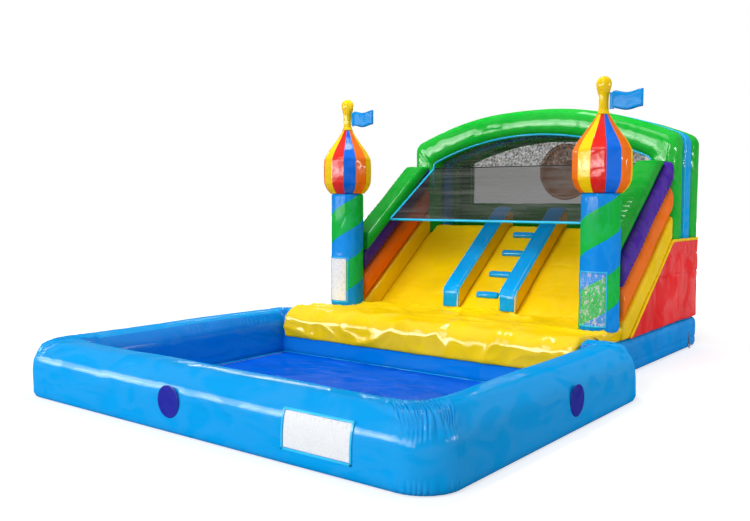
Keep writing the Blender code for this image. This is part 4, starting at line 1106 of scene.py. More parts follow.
def make_round_panel(settings):
    """The plain disc on the window net, a sheet of vinyl with a welded rim."""
    profile = (
        (0.02, -0.0075), (0.10, -0.0075), (0.18, -0.0072), (0.25, -0.0072), (0.30, -0.0072),
        (0.312, -0.0055), (0.322, -0.0072), (0.335, -0.0070), (0.340, -0.004), (0.338, -0.0002),
        (0.30, -0.0002), (0.20, -0.0002), (0.02, -0.0002))

    def relief(points):
        return 0.0016 * settings.fold_depth * waves(points, (0.5, 9, 0.12), 104, 2)

    disc = turned(
        "round_panel_vinyl", profile, (0.10, REAR_RIB_MIDDLE - 0.0038, 1.985), 72, relief, "Y")
    brown = vinyl("brown_disc_vinyl", settings.brown, 0.35, 0.8, 6.0, low=-0.35)
    dress(disc, brown, slot="brown_vinyl", stands_for=["round_panel"])


# The climb.


def rail_sides():
    """The rail from the side: the line over its top and the line under it, as y and z arrays."""
    front, end = BED_FOOT - 0.03, HOUSE_FRONT + 0.20
    foot = LANDING_TOP + SEAM
    crest_y = HOUSE_FRONT + (CREST - PLATFORM) / SLOPE
    corners = outline_of([
        (front, foot, 0), (front, bed_height(front) + RAIL_DEPTH, 0.12),
        (end, bed_height(end) + RAIL_DEPTH, 0.07), (end, CREST + 0.0006, 0)], 10)
    over = np.array(corners[:-1])
    under = np.array([
        (front, foot), (BED_FOOT, foot), (crest_y, CREST + 0.0006), (end, CREST + 0.0006)])
    return over, under


def make_climb(settings):
    over, under = rail_sides()
    line = resampled(over, 160)
    lower = np.column_stack([line[:, 0], np.interp(line[:, 0], under[:, 0], under[:, 1])])
    run = run_of(line)
    yellow = vinyl("rail_yellow_vinyl", settings.yellow, 0.18, 0.8, 5.0)
    blue = vinyl("rail_cover_vinyl", settings.rail_blue, 0.20, 0.9, 6.0)
    piping = cyan_piping(settings)

    half = (0.10, 0.8, RAIL_DEPTH / 2)

    def at(place, points):
        """The y and z of these points so far along the rail."""
        return np.interp(place, run, points[:, 0]), np.interp(place, run, points[:, 1])

    def on_top(place):
        """The y and z of the rail's top so far along it, and the direction out of it."""
        (y, z), ahead, back = at(place, line), at(place + 0.01, line), at(place - 0.01, line)
        along = Vector((0, ahead[0] - back[0], ahead[1] - back[1])).normalized()
        return y, z, -along.z, along.y

    for side, centre in (("left", RAIL_MIDDLES[0]), ("right", RAIL_MIDDLES[1])):

        def lie(points, centre=centre):
            x, y, z = points.T
            place = (y / (2 * half[1]) + 0.5) * run[-1]
            (top_y, top_z), (low_y, low_z) = at(place, line), at(place, lower)
            share = z / RAIL_DEPTH + 0.5
            return np.column_stack([
                x + centre, low_y + share * (top_y - low_y), low_z + share * (top_z - low_z)])

        def relief(points, before):
            gather = np.sin(points[:, 1] * 80) * fade(before[:, 2], 0.01, 0.07)
            swell = waves(points, (0.25, 0.3, 0.25), 111, 2)
            return settings.fold_depth * (0.0014 * gather + 0.0025 * swell - 0.002)

        rail = cushion(side + "_rail_vinyl", half, (7, 100, 10), 0.034, lie, relief)
        dress(rail, yellow, slot="yellow_vinyl", stands_for=[side + "_rail"])
        cover_rows = []
        width = 0.094
        for share in np.linspace(0, 1, 111):
            y, z, out_y, out_z = on_top(run[-1] * (0.012 + 0.976 * share))
            row = []
            for steps, reach, level in (
                    (range(17), width, 0.0105), (range(16, -1, -1), width - 0.003, 0.0025)):
                for k in steps:
                    across = math.cos(math.pi * k / 16) * reach
                    drop = (1 - math.sqrt(max(1 - (across / (width + 0.004)) ** 4, 0))) * 0.030
                    lift = level - drop
                    row.append((centre + across, y + out_y * lift, z + out_z * lift))
            cover_rows.append(row)

        def cover_relief(points):
            return settings.fold_depth * 0.0016 * waves(points, (0.2, 0.12, 0.12), 112, 2)

        cover = loft(side + "_rail_cover_vinyl", cover_rows, False, cover_relief)
        dress(cover, blue, slot="blue_vinyl", stands_for=[side + "_rail_cover"])
        for edge, sign in (("left", -1), ("right", 1)):
            path = []
            for share in np.linspace(0.015, 0.985, 90):
                y, z, out_y, out_z = on_top(run[-1] * share)
                path.append((centre + sign * 0.0965, y - out_y * 0.014, z - out_z * 0.014))
            dress(tube(f"{side}_rail_{edge}_piping", path, 0.007), piping, slot="blue_vinyl")
    half_circle = [(SLOPE_ANGLE + math.pi * k / 20, 1) for k in range(21)]
    half_circle += [(SLOPE_ANGLE + math.pi, 1 - k / 4) for k in range(1, 8)]
    for number, place in enumerate((0.19, 0.46, 0.75, 1.01), 1):
        y = BED_FOOT + place
        z = bed_height(y) + 0.0006
        rows = []
        for x in np.sin(np.linspace(-math.pi / 2, math.pi / 2, 33)) * 0.135:
            size = max(1 - abs(x / 0.136) ** 12, 0.02) ** 0.3
            rows.append([
                (x - 0.07, y + 0.042 * size * share * math.cos(turn),
                 z + 0.042 * size * share * math.sin(turn)) for turn, share in half_circle])

        def step_relief(points):
            return settings.fold_depth * 0.0012 * waves(points, (0.06, 0.1, 0.1), 113, 2)

        step = loft(f"climbing_step_{number}_vinyl", rows, False, step_relief)
        dress(step, blue, slot="blue_vinyl", stands_for=[f"climbing_step_{number}"])


# The towers and their flags.


def striped_vinyl(name, settings, centre):
    """Blue vinyl with green bands that wind up the column, and a painted highlight along its fold ridges."""
    finish = Finish(name)
    x, y, z = (
        finish.node("ShaderNodeSeparateXYZ", {}, {0: finish.place()}, axis) for axis in "XYZ")
    angle = finish.maths("ARCTAN2", y - centre[1], x - centre[0])
    phase = angle * (1 / (2 * math.pi)) - z * settings.stripe_turn + settings.stripe_start
    wide = finish.maths("ABSOLUTE", finish.maths("FRACT", phase) - 0.5)
    share = finish.ramp(0.25 - wide, -0.004, 0.004)
    seam = 1.0 - finish.ramp(finish.maths("ABSOLUTE", wide - 0.25), 0.004, 0.012)
    cloud = finish.noise(3.0, 4.0)
    crease = finish.noise(7.0, 5.0, (1, 1, 0.7), 0.5)
    colour = finish.mix(share, (*settings.sky_blue, 1), (*settings.green, 1))
    shade = finish.mix(finish.ramp(cloud, 0.40, 0.75) * 0.22, colour, (0.0, 0.05, 0.12, 1))
    valley = (crease - 0.5) * (crease - 0.5)
    ridge = 1.0 - finish.ramp(valley, 0.0, 0.012)
    # Painted highlight: the colour turns pale cyan along the fold ridges.
    finish.set(
        Base_Color=finish.mix(ridge * 0.06, shade, (0.15, 0.6, 0.8, 1)),
        Roughness=cloud * 0.14 + 0.12, Specular_IOR_Level=0.0,
        Coat_Weight=0.04, Coat_Roughness=0.10, Coat_IOR=COAT_IOR,
        Normal=finish.bump(ridge * 0.35 + crease * 1.1 - seam * 0.8, 0.008, 0.40))
    return finish.material


def make_towers(settings):
    gores = [vinyl(f"bulb_{name}_vinyl", colour, 0.18, 0.8, 7.0) for name, colour in (
        ("yellow", settings.yellow), ("red", settings.bulb_red), ("blue", settings.bulb_blue),
        ("orange", settings.orange))]
    yellow = vinyl("finial_yellow_vinyl", settings.yellow, 0.18, 0.8, 8.0)
    flag_blue = vinyl("flag_vinyl", settings.flag_blue, 0.22, 0.8, 9.0, shine=0.3)
    for side, sign in (("left", -1), ("right", 1)):
        x = sign * TOWER_X
        height = COLUMN_TOP - TOWER_FOOT
        levels = np.concatenate([
            np.array((0.0, 0.006, 0.020, 0.040)), np.linspace(0.06, height - 0.06, 52),
            height - np.array((0.040, 0.020, 0.006, 0.0))])
        profile = []
        for level in levels:
            near = min(level, height - level)
            pull = 0.040 - min(near, 0.040)
            profile.append((TOWER_RADIUS - 0.012 * (pull / 0.040) ** 3, level))
        stripes = striped_vinyl(
            side + "_tower_vinyl", bpy.context.scene.slide_tower, (x + PLAN_X, TOWER_Y + PLAN_Y))

        def column_relief(points, x=x, height=height):
            away = points[:, :2] - (x, TOWER_Y)
            turn = np.arctan2(away[:, 1], away[:, 0])
            level = points[:, 2] - TOWER_FOOT
            ends = fade(np.minimum(level, height - level), 0.20, 0.02)
            gather = np.cos(turn * 18) * ends
            folds = creases(points, (0.22, 0.22, 0.35), 121, 8.0)
            swell = waves(points, (0.22, 0.22, 0.3), 122, 2)
            pocket = np.maximum(
                np.abs(turn + math.pi / 2) * TOWER_RADIUS - TOWER_POCKET_HALF[0],
                np.abs(level - TOWER_POCKET_RISE) - TOWER_POCKET_HALF[1])
            return settings.fold_depth * fade(pocket, 0.01, 0.05) * (
                0.0016 * gather + 0.0025 * folds + 0.002 * swell - 0.001)

        column = turned(
            side + "_tower_column_vinyl", profile, (x, TOWER_Y, TOWER_FOOT), 96, column_relief)
        dress(
            column, stripes, slot="tower_vinyl", stands_for=[side + "_tower_column"])
        make_bulb(settings, side, x, gores)
        tip = [
            (0.060, 0.000), (0.052, 0.015), (0.047, 0.035), (0.0435, 0.060), (0.042, 0.090),
            (0.0425, 0.120), (0.044, 0.150), (0.049, 0.180), (0.056, 0.205), (0.063, 0.235),
            (0.067, 0.262), (0.066, 0.285), (0.060, 0.305), (0.048, 0.322), (0.030, 0.333),
            (0.012, 0.339)]

        def tip_relief(points):
            return settings.fold_depth * 0.0018 * waves(points, (0.06, 0.06, 0.08), 123, 2)

        finial = turned(side + "_tower_finial_vinyl", tip, (x, TOWER_Y, FINIAL_FOOT), 40, tip_relief)
        dress(finial, yellow, slot="finial_vinyl", stands_for=[side + "_tower_finial"])
        make_flag(settings, side, flag_blue)


def make_bulb(settings, side, x, gores):
    profile = np.array((
        (0.190, 0.000), (0.236, 0.050), (0.265, 0.110), (0.269, 0.205), (0.269, 0.300),
        (0.264, 0.385), (0.216, 0.470), (0.154, 0.550), (0.100, 0.625), (0.056, 0.700)))
    levels = np.linspace(0, profile[-1, 1], 57)
    radii = np.interp(levels, profile[:, 1], profile[:, 0])
    radii[1:-1] = (radii[:-2] + 2 * radii[1:-1] + radii[2:]) / 4
    sides = 12 * GORES
    turns = circle(sides)
    start = bpy.context.scene.slide_tower.gore_start
    place = (turns * GORES / (2 * math.pi) + start) % 1.0
    flat = math.cos(math.pi / GORES) / np.cos((place - 0.5) * 2 * math.pi / GORES)
    rows = []
    for level, radius in zip(levels, radii):
        gather = 1.0 + 0.006 * np.cos(turns * 24) * float(fade(abs(level - 0.3), 0.18, 0.30))
        ring = radius * np.minimum(flat, 0.992) * gather
        rows.append(np.column_stack([
            x + ring * np.cos(turns), TOWER_Y + ring * np.sin(turns),
            np.full(sides, BULB_FOOT + level)]))

    def relief(points):
        return settings.fold_depth * (
            0.0022 * creases(points, (0.16, 0.16, 0.22), 131, 8.0)
            + 0.0008 * waves(points, (0.12, 0.12, 0.2), 132, 2))

    bulb = loft(side + "_tower_bulb_vinyl", rows, False, relief)
    dress(bulb, gores[0], slot="bulb_vinyl", stands_for=[side + "_tower_bulb"])
    for finish in gores[1:]:
        bulb.data.materials.append(finish)
    for face in bulb.data.polygons:
        away = face.center - Vector((x + PLAN_X, TOWER_Y + PLAN_Y, face.center.z))
        turn = math.atan2(away.y, away.x) % (2 * math.pi)
        face.material_index = int(turn * GORES / (2 * math.pi) + start) % 4


def make_flag(settings, side, finish):
    """A padded flag, sewn to an upright hem on which it swings."""
    sign = -1 if side == "left" else 1
    seam_x = sign * TOWER_X + 0.0582
    middle = FINIAL_FOOT + 0.1175
    half = (0.139, 0.0175, 0.0755)

    def wave(points):
        x, y, z = points.T
        share = np.clip(x / (2 * half[0]) + 0.5, 0, 1)
        thin = 1 - 0.55 * fade(share, 0.16, 0.0)
        lift = 0.012 * np.cos(2 * math.pi * share)
        return np.column_stack([
            seam_x + 0.161 + x, TOWER_Y + y * thin, middle + z + lift])

    def relief(points, before):
        swell = waves(points, (0.08, 0.2, 0.08), 141, 2)
        edge = fade(np.abs(before[:, 2]), 0.03, 0.07)
        gather = np.sin(before[:, 0] * 260) * edge
        flat = fade(half[0] - np.abs(before[:, 0]), 0.0, 0.02)
        return settings.fold_depth * flat * (0.0012 * swell + 0.0008 * gather - 0.0008)

    flag = cushion(side + "_flag_vinyl", half, (30, 4, 16), 0.0155, wave, relief)
    dress(flag, finish, side + "_flag", "blue_vinyl", [side + "_flag"])
    right, top = 0.136, 0.0735
    edge = [(x, 0, -top) for x in np.linspace(-right + 0.02, right, 30)]
    edge += [(right, 0, z) for z in np.linspace(-top, top, 12)[1:-1]]
    edge += [(x, 0, top) for x in np.linspace(right, -right + 0.02, 30)]
    binding = vinyl("flag_binding_film", (0.0, 0.12, 0.42), 0.25, 0.3, 9.0)
    dress(tube(side + "_flag_binding", wave(np.array(edge)), 0.005), binding, side + "_flag", "blue_vinyl")

    def hem_place(points):
        return points + (seam_x + 0.018, TOWER_Y, middle)

    hem = cushion(side + "_flag_hem", (0.0215, 0.0018, 0.0745), (6, 1, 20), 0.0016, hem_place)
    dress(hem, finish, side + "_flag", "blue_vinyl")


# Signs: clear pockets, blank cards and plain round patches.


@made_once
def clear_film(name, wrinkles):
    """Clear film, over which this share of white shows where it creases, as a painted highlight."""
    finish = Finish(name)
    film = finish.noise(52.0, 3.0, (1, 1, 0.6), 0.6)
    # Painted highlight: white shows through at the film's creases.
    finish.set(
        Base_Color=(0.93, 0.97, 1.0, 1), Roughness=film * 0.12 + 0.04,
        Alpha=finish.ramp(film, 0.52, 0.72) * wrinkles + 0.04, Specular_IOR_Level=0.05,
        Normal=finish.bump(film, 0.006, 0.6))
    finish.material.surface_render_method = "DITHERED"
    return finish.material


def blank_card():
    finish = Finish("blank_card_board")
    mottle = finish.noise(14.0, 4.0)
    finish.set(
        Base_Color=finish.mix(mottle, (0.76, 0.78, 0.81, 1), (0.82, 0.83, 0.85, 1)),
        Roughness=mottle * 0.15 + 0.42, Specular_IOR_Level=0.05,
        Normal=finish.bump(mottle, 0.001, 0.4))
    return finish.material


def border_strips(name, half, width, thickness, bend, finish):
    """Four welded strips round a pocket's edge."""
    x, z = half
    strips = {
        "top": ((0, z - width / 2), (x, width / 2)), "foot": ((0, width / 2 - z), (x, width / 2)),
        "left": ((width / 2 - x, 0), (width / 2, z)), "right": ((x - width / 2, 0), (width / 2, z))}
    for edge, ((u, v), (a, b)) in strips.items():

        def place(points, u=u, v=v):
            return bend(points + (u, 0, v))

        strip = cushion(
            f"{name}_{edge}_border", (a, thickness / 2, b),
            (max(int(a / 0.012), 2), 1, max(int(b / 0.012), 2)), thickness * 0.45, place)
        dress(strip, finish, slot="blue_vinyl")


def wall_lean(z):
    """How far the air in the pool's wall pulls its upper half back from upright."""
    return 0.77 * np.clip(z - 0.17, 0, 0.13) ** 2 + 0.2 * np.clip(z - 0.30, 0, 0.08)


def wall_inset(z):
    """How far the pool's wall curves back from its upright face at this height."""
    foot, top = WALL_FOOT_ROUNDING, WALL_TOP_ROUNDING
    low, high = np.maximum(foot - z, 0), np.maximum(z - (POOL_HEIGHT - top), 0)
    return (
        foot - np.sqrt(foot ** 2 - low ** 2) + top - np.sqrt(top ** 2 - high ** 2) + wall_lean(z))


def make_signs(settings):
    film, card = clear_film("clear_pocket_film", 0.10), blank_card()
    # This pocket film shows more painted white highlight at its creases.
    creased = clear_film("creased_pocket_film", 0.50)
    piping = cyan_piping(settings)

    def on_pool(depth):
        def bend(points):
            x, y, z = points.T
            height = z + SIGN_HEIGHT
            return np.column_stack([x + SIGN_X, wall_inset(height) - depth + y, height])
        return bend

    sheet = cushion("pool_sign_card_board", (0.262, 0.0009, 0.112), (30, 1, 16), 0.0008, on_pool(0.0013))
    dress(sheet, card, slot="white_card", stands_for=["pool_sign_card"])
    pocket = cushion(
        "pool_sign_pocket_film", (SIGN_HALF[0], 0.0016, SIGN_HALF[1]), (36, 1, 20), 0.0014,
        on_pool(0.0042))
    dress(pocket, film, slot="clear_film", stands_for=["pool_sign_pocket"])
    border_strips("pool_pocket", SIGN_HALF, 0.014, 0.0022, on_pool(0.0060), piping)
    for side, sign in (("left", -1), ("right", 1)):

        def on_tower(depth, sign=sign):
            def bend(points):
                x, y, z = points.T
                turn = x / TOWER_RADIUS - math.pi / 2
                radius = TOWER_RADIUS + depth - y
                return np.column_stack([
                    sign * TOWER_X + radius * np.cos(turn), TOWER_Y + radius * np.sin(turn),
                    z + TOWER_FOOT + TOWER_POCKET_RISE])
            return bend

        if side == "left":
            sheet = cushion(
                "left_tower_card_board", (0.108, 0.0009, 0.232), (20, 1, 30), 0.0008, on_tower(0.0015))
            dress(sheet, card, slot="white_card", stands_for=["left_tower_card"])
        pocket = cushion(
            side + "_tower_pocket_film", (TOWER_POCKET_HALF[0], 0.0016, TOWER_POCKET_HALF[1]),
            (26, 1, 36), 0.0014, on_tower(0.0045))
        dress(
            pocket, film if side == "left" else creased, slot="clear_film",
            stands_for=[side + "_tower_pocket"])
        border_strips(
            side + "_tower_pocket", TOWER_POCKET_HALF, 0.012, 0.0022, on_tower(0.0062), piping)
    navy = vinyl("navy_patch_vinyl", (0.016, 0.020, 0.36), 0.25, 0.5, 9.0)
    profile = np.array((
        (0.02, 0.0038), (0.06, 0.0038), (0.095, 0.0038), (0.100, 0.0026), (0.104, 0.0038),
        (0.112, 0.0036), (0.115, 0.0018), (0.113, 0.0), (0.06, 0.0), (0.02, 0.0)))
    for name, centre, axis, outward in (
            ("front", (FRONT_PATCH_X, -SEAM, SIGN_HEIGHT), "Y", -1),
            ("side", (HALF_POOL + SEAM, SIDE_PATCH_Y, SIGN_HEIGHT), "X", 1)):
        patch = turned(f"pool_{name}_patch_vinyl", profile * (1, outward), centre, 64, axis=axis)
        dress(patch, navy, slot="patch_vinyl", stands_for=[f"pool_{name}_patch"])


# Anchors, zip and inlet.


@made_once
def webbing_fabric(name, colour):
    finish = Finish(name)
    weave = finish.node("ShaderNodeTexWave", {"wave_type": "BANDS", "bands_direction": "DIAGONAL"}, {
        "Vector": finish.place(), "Scale": 90.0, "Distortion": 1.5, "Detail": 1.0})
    cloud = finish.noise(40.0, 3.0)
    band = finish.ramp(weave, 0.2, 0.8)
    finish.set(
        Base_Color=finish.mix(band * 0.6 + cloud * 0.3, tone(colour, -0.3), tone(colour, 0.12)),
        Roughness=cloud * 0.15 + 0.62, Normal=finish.bump(band, 0.0008, 0.8))
    return finish.material


@made_once
def brushed_steel(name):
    finish = Finish(name)
    brush = finish.noise(220.0, 3.0, (1, 1, 0.2))
    spots = finish.noise(30.0, 4.0)
    finish.set(
        Base_Color=finish.mix(spots, (0.42, 0.42, 0.43, 1), (0.62, 0.62, 0.63, 1)), Metallic=1.0,
        Roughness=brush * 0.14 + 0.24, Normal=finish.bump(brush, 0.0004, 0.5))
    return finish.material


def make_anchors(settings):
    fabric, steel = webbing_fabric("anchor_webbing", (0.05, 0.06, 0.08)), brushed_steel("zinc_plated_steel")
    for side, sign in (("left", -1), ("right", 1)):
        node = f"rear_{side}_anchor_strap"
        low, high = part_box(node)
        y, foot = (low.y + high.y) / 2 - PLAN_Y, 0.064
        face = sign * (HALF_MODULE + SEAM)

        def stand(points, face=face, sign=sign, y=y):
            return points + (face + sign * 0.0026, y, foot + 0.068)

        patch = cushion(
            f"rear_{side}_anchor_patch", (0.0025, 0.020, 0.062), (1, 8, 24), 0.0016, stand)
        dress(patch, fabric, slot="webbing", stands_for=[node])
        x = face + sign * 0.0088
        profile = (
            (0.0087, -0.0192), (0.0087, 0.0192), (0.0080, 0.0197), (0.0064, 0.0197),
            (0.0059, 0.0192), (0.0059, -0.0192), (0.0064, -0.0197), (0.0080, -0.0197))
        loop = turned(f"rear_{side}_anchor_loop", profile, (x, y, foot), 32, None, "Y", True)
        dress(loop, fabric, slot="webbing")
        for number, height in enumerate((0.085, 0.118, 0.180)):
            path = [
                (face + sign * 0.0050, y + v, height + 0.0018 * (k % 2))
                for k, v in enumerate(np.linspace(-0.016, 0.016, 17))]
            thread = tube(f"rear_{side}_anchor_stitch_{number}", path, 0.0006, 6)
            dress(thread, webbing_fabric("stitch_thread", (0.5, 0.5, 0.5)), slot="webbing")
        finish_node(f"rear_{side}_anchor_ring", steel)


def make_zip(settings):
    fabric = webbing_fabric("zip_tape_fabric", (0.06, 0.06, 0.07))
    face = MODULE_BACK + SEAM

    def lie(points):
        return points + (0, face + 0.0013, ZIP_HEIGHT)

    tape = cushion("zip_tape_cloth", (0.55, 0.0012, 0.025), (110, 1, 8), 0.001, lie)
    dress(tape, fabric, slot="webbing", stands_for=["zip_tape"])
    points, faces = [], []
    block = [(a, b, c) for c in (-1, 1) for a, b in ((-1, -1), (1, -1), (1, 1), (-1, 1))]
    sides = ((0, 3, 2, 1), (4, 5, 6, 7), (0, 1, 5, 4), (1, 2, 6, 5), (2, 3, 7, 6), (3, 0, 4, 7))
    count, reach = 266, 0.532
    for number in range(count):
        x = -reach + 2 * reach * number / (count - 1)
        shift = 0.0011 if number % 2 else -0.0011
        start = len(points)
        points += [
            (x + a * 0.0014, face + 0.0046 + b * 0.0020, ZIP_HEIGHT + shift + c * 0.0026)
            for a, b, c in block]
        faces += [tuple(start + k for k in side) for side in sides]
    teeth = new_object("zip_teeth", points, faces, smooth=False)
    plastic = vinyl("zip_teeth_plastic", (0.03, 0.03, 0.035), 0.35, 0.2, 60.0)
    dress(teeth, plastic, slot="webbing")
    finish_node("zip_slider", brushed_steel("zinc_plated_steel"))


def make_inlet(settings):
    """The fabric sleeve on the base's rear face, with the strap that grips the hose."""
    x, z, face = -0.95, 0.17, MODULE_BACK + SEAM
    profile = (
        (0.115, 0.0004), (0.162, 0.0004), (0.162, 0.0090), (0.150, 0.0102), (0.136, 0.0106),
        (0.1275, 0.0160), (0.1268, 0.030), (0.1255, 0.050), (0.1265, 0.070), (0.1270, 0.095),
        (0.1262, 0.1085), (0.1210, 0.1100), (0.1158, 0.1085), (0.115, 0.095), (0.1153, 0.060),
        (0.115, 0.030))

    def relief(points):
        away = np.hypot(points[:, 0] - x, points[:, 2] - z)
        turn = np.arctan2(points[:, 2] - z, points[:, 0] - x)
        sleeve = fade(points[:, 1] - face, 0.012, 0.03) * fade(points[:, 1] - face, 0.11, 0.09)
        outer = fade(away, 0.119, 0.124)
        return sleeve * outer * (0.0012 * np.cos(turn * 30) - 0.0012)

    fabric = webbing_fabric("inlet_sleeve_fabric", (0.10, 0.11, 0.13))
    sleeve = turned("inlet_sleeve_cloth", profile, (x, MODULE_BACK, z), 72, relief, "Y", True)
    dress(sleeve, fabric, slot="webbing", stands_for=["inlet_collar"])
    edges = ((0.1262, 0.046), (0.1288, 0.047), (0.1288, 0.069), (0.1262, 0.070))
    strap = turned("inlet_strap", edges, (x, face, z), 72, None, "Y", True)
    dress(strap, webbing_fabric("strap_webbing", (0.03, 0.03, 0.035)), slot="webbing")


# The stage.


def staged(name, data):
    """Puts a floor, a lamp or a camera in the scene."""
    made = bpy.data.objects.new(name, data)
    bpy.context.scene.collection.objects.link(made)
    return made


def facing(direction):
    """The turn that points a lamp this way."""
    return direction.to_track_quat("-Z", "Y").to_euler()


def make_stage(settings):
    floor_mesh = bpy.data.meshes.new("studio_floor")
    size = 60.0
    floor_mesh.from_pydata(
        [(-size, -size, -0.001), (size, -size, -0.001), (size, size, -0.001), (-size, size, -0.001)],
        [], [(0, 1, 2, 3)])
    floor = staged("studio_floor", floor_mesh)
    finish = Finish("studio_floor_white")
    away = finish.node("ShaderNodeVectorMath", {"operation": "LENGTH"}, {0: finish.place()}, "Value")
    finish.set(
        Base_Color=(0.55, 0.55, 0.55, 1), Roughness=0.75, Specular_IOR_Level=0.0,
        Alpha=1.0 - finish.ramp(away, 4.5, 8.0))
    seen = finish.node("ShaderNodeLightPath", output="Is Camera Ray")
    glow = finish.node(
        "ShaderNodeEmission", {}, {"Color": (1, 1, 1, 1), "Strength": seen * settings.floor_glow})
    lit = Value(finish, finish.shader.outputs[0])
    both = finish.node("ShaderNodeAddShader", {}, {0: lit, 1: glow})
    finish.put(finish.tree.nodes["Material Output"].inputs["Surface"], both)
    floor_mesh.materials.append(finish.material)

    world = bpy.data.worlds.new("studio_white")
    bpy.context.scene.world = world
    room = Nodes(world)
    seen = room.node("ShaderNodeLightPath", output="Is Camera Ray")
    for ray in ("Is Glossy Ray", "Is Transmission Ray"):
        seen = room.maths("MAXIMUM", seen, room.node("ShaderNodeLightPath", output=ray))
    background = room.tree.nodes["Background"]
    room.put(background.inputs["Color"], (1, 1, 1, 1))
    room.put(background.inputs["Strength"], seen * (1.0 - settings.world_light) + settings.world_light)

    # Name, place, aim, width and depth, and power of each lamp.
    lamps = (
        ("front_strip", (-5.0, -10.5, 2.4), (-1.0, 0.0, 0.5), (20.0, 0.55), settings.front_light),
        ("front_card", (-5.0, -10.7, 2.9), (-1.0, 0.0, 0.5), (20.0, 3.4), settings.card_light),
        ("back_strip", (-7.0, 10.0, 3.8), (0.0, 1.5, 0.4), (12.0, 0.4), settings.back_light),
        ("side_strip", (10.5, 3.5, 2.8), (1.6, 3.5, 0.7), (7.0, 0.3), settings.fill_light),
        ("top_softbox", (-0.4, 0.4, 7.5), (0.2, 0.3, 0.0), (3.0, 1.2), settings.top_light),
    )
    for name, place, aim, (wide, deep), power in lamps:
        data = bpy.data.lights.new(name, "AREA")
        data.shape = "RECTANGLE"
        data.size, data.size_y = wide, deep
        data.energy = power
        lamp = staged(name, data)
        lamp.location = place
        lamp.rotation_euler = facing(Vector(aim) - Vector(place))
        lamp.visible_diffuse = name != "front_card"

    data = bpy.data.lights.new("key_light", "SUN")
    data.energy = settings.key_light
    data.angle = math.radians(30)
    staged("key_light", data).rotation_euler = facing(Vector((0.0, 7.5, -5.2)))

    scene = bpy.context.scene
    scene.view_settings.view_transform = "Standard"
    data = bpy.data.cameras.new("photo_view")
    data.lens = settings.lens
    data.sensor_width = 36.0
    camera = staged("photo_view", data)
    yaw, pitch, roll = settings.camera_yaw, settings.camera_pitch, settings.camera_roll
    forward = Vector((
        -math.sin(yaw) * math.cos(pitch), math.cos(yaw) * math.cos(pitch), -math.sin(pitch)))
    right = Vector((math.cos(yaw), math.sin(yaw), 0))
    up = right.cross(forward)
    turn = Matrix((right, up, -forward)).transposed().to_4x4()
    place = Matrix.Translation(Vector(settings.camera_place))
    camera.matrix_world = place @ turn @ Matrix.Rotation(roll, 4, "Z")
    scene.camera = camera


# What a user changes.


def colour_property(name, description, default):
    return FloatVectorProperty(
        name=name, description=description, default=default, size=3, min=0.0, max=1.0,
        subtype="COLOR")


def power_property(name, description, default):
    return FloatProperty(
        name=name, description=description, default=default, min=0.0, subtype="POWER")


def angle_property(name, description, degrees):
    return FloatProperty(
        name=name, description=description, default=math.radians(degrees), subtype="ANGLE")


class SlideVinylSettings(bpy.types.PropertyGroup):
    """Colours of the vinyl and depth of its folds."""

    sky_blue: colour_property("Sky blue", "Pool wall and middle rib", (0.0, 0.335, 0.80))
    # Painted shade: a darker blue for the inner faces of the pool's wall.
    inner_blue: colour_property("Inner blue", "Inner faces of the pool wall", (0.0, 0.215, 0.68))
    base_blue: colour_property("Base blue", "Mattress under the slide", (0.0, 0.31, 0.86))
    deep_blue: colour_property("Deep blue", "Floor of the pool", (0.0, 0.130, 0.78))
    rail_blue: colour_property("Rail blue", "Covers of the rails and the steps", (0.0, 0.36, 0.86))
    piping_blue: colour_property("Piping", "Cyan piping and hems", (0.030, 0.56, 0.92))
    flag_blue: colour_property("Flags", "Padded flags", (0.002, 0.31, 0.80))
    yellow: colour_property("Yellow", "Bed, landing, rails and finials", (1.00, 0.66, 0.003))
    orange: colour_property("Orange", "Orange tubes and gores", (1.00, 0.19, 0.004))
    red: colour_property("Red", "Side and rear panels", (0.95, 0.008, 0.012))
    bulb_red: colour_property("Bulb red", "Red gores", (0.84, 0.022, 0.014))
    bulb_blue: colour_property("Bulb blue", "Blue gores", (0.0, 0.16, 0.80))
    purple: colour_property("Purple", "Purple tubes", (0.070, 0.018, 0.36))
    green: colour_property("Green", "Ribs and green tubes", (0.006, 0.48, 0.032))
    brown: colour_property("Brown", "Disc on the window net", (0.62, 0.28, 0.15))
    net_brown: colour_property("Net", "Mesh of the canopy", (0.021, 0.019, 0.018))
    fold_depth: FloatProperty(
        name="Fold depth", description="Depth of folds and puckers against the photographed ones",
        default=1.0, min=0.0, max=1.5)
    net_sag: FloatProperty(
        name="Net sag", description="Sag of the canopy net against a loose one", default=1.0,
        min=0.0, max=1.5)


class SlideTowerSettings(bpy.types.PropertyGroup):
    """Pattern of the towers."""

    sky_blue: colour_property("Blue band", "Blue of the columns", (0.001, 0.275, 0.84))
    green: colour_property("Green band", "Green of the columns", (0.006, 0.50, 0.040))
    stripe_turn: FloatProperty(
        name="Bands a metre", description="Turns that a band makes in a metre of height",
        default=1.54, min=0.2, max=6.0)
    stripe_start: FloatProperty(
        name="Band start", description="Share of a turn by which the bands are moved round",
        default=0.87, min=0.0, max=1.0)
    gore_start: FloatProperty(
        name="Gore start", description="Gores by which the bulb's colours are moved round",
        default=0.0, min=0.0, max=12.0)


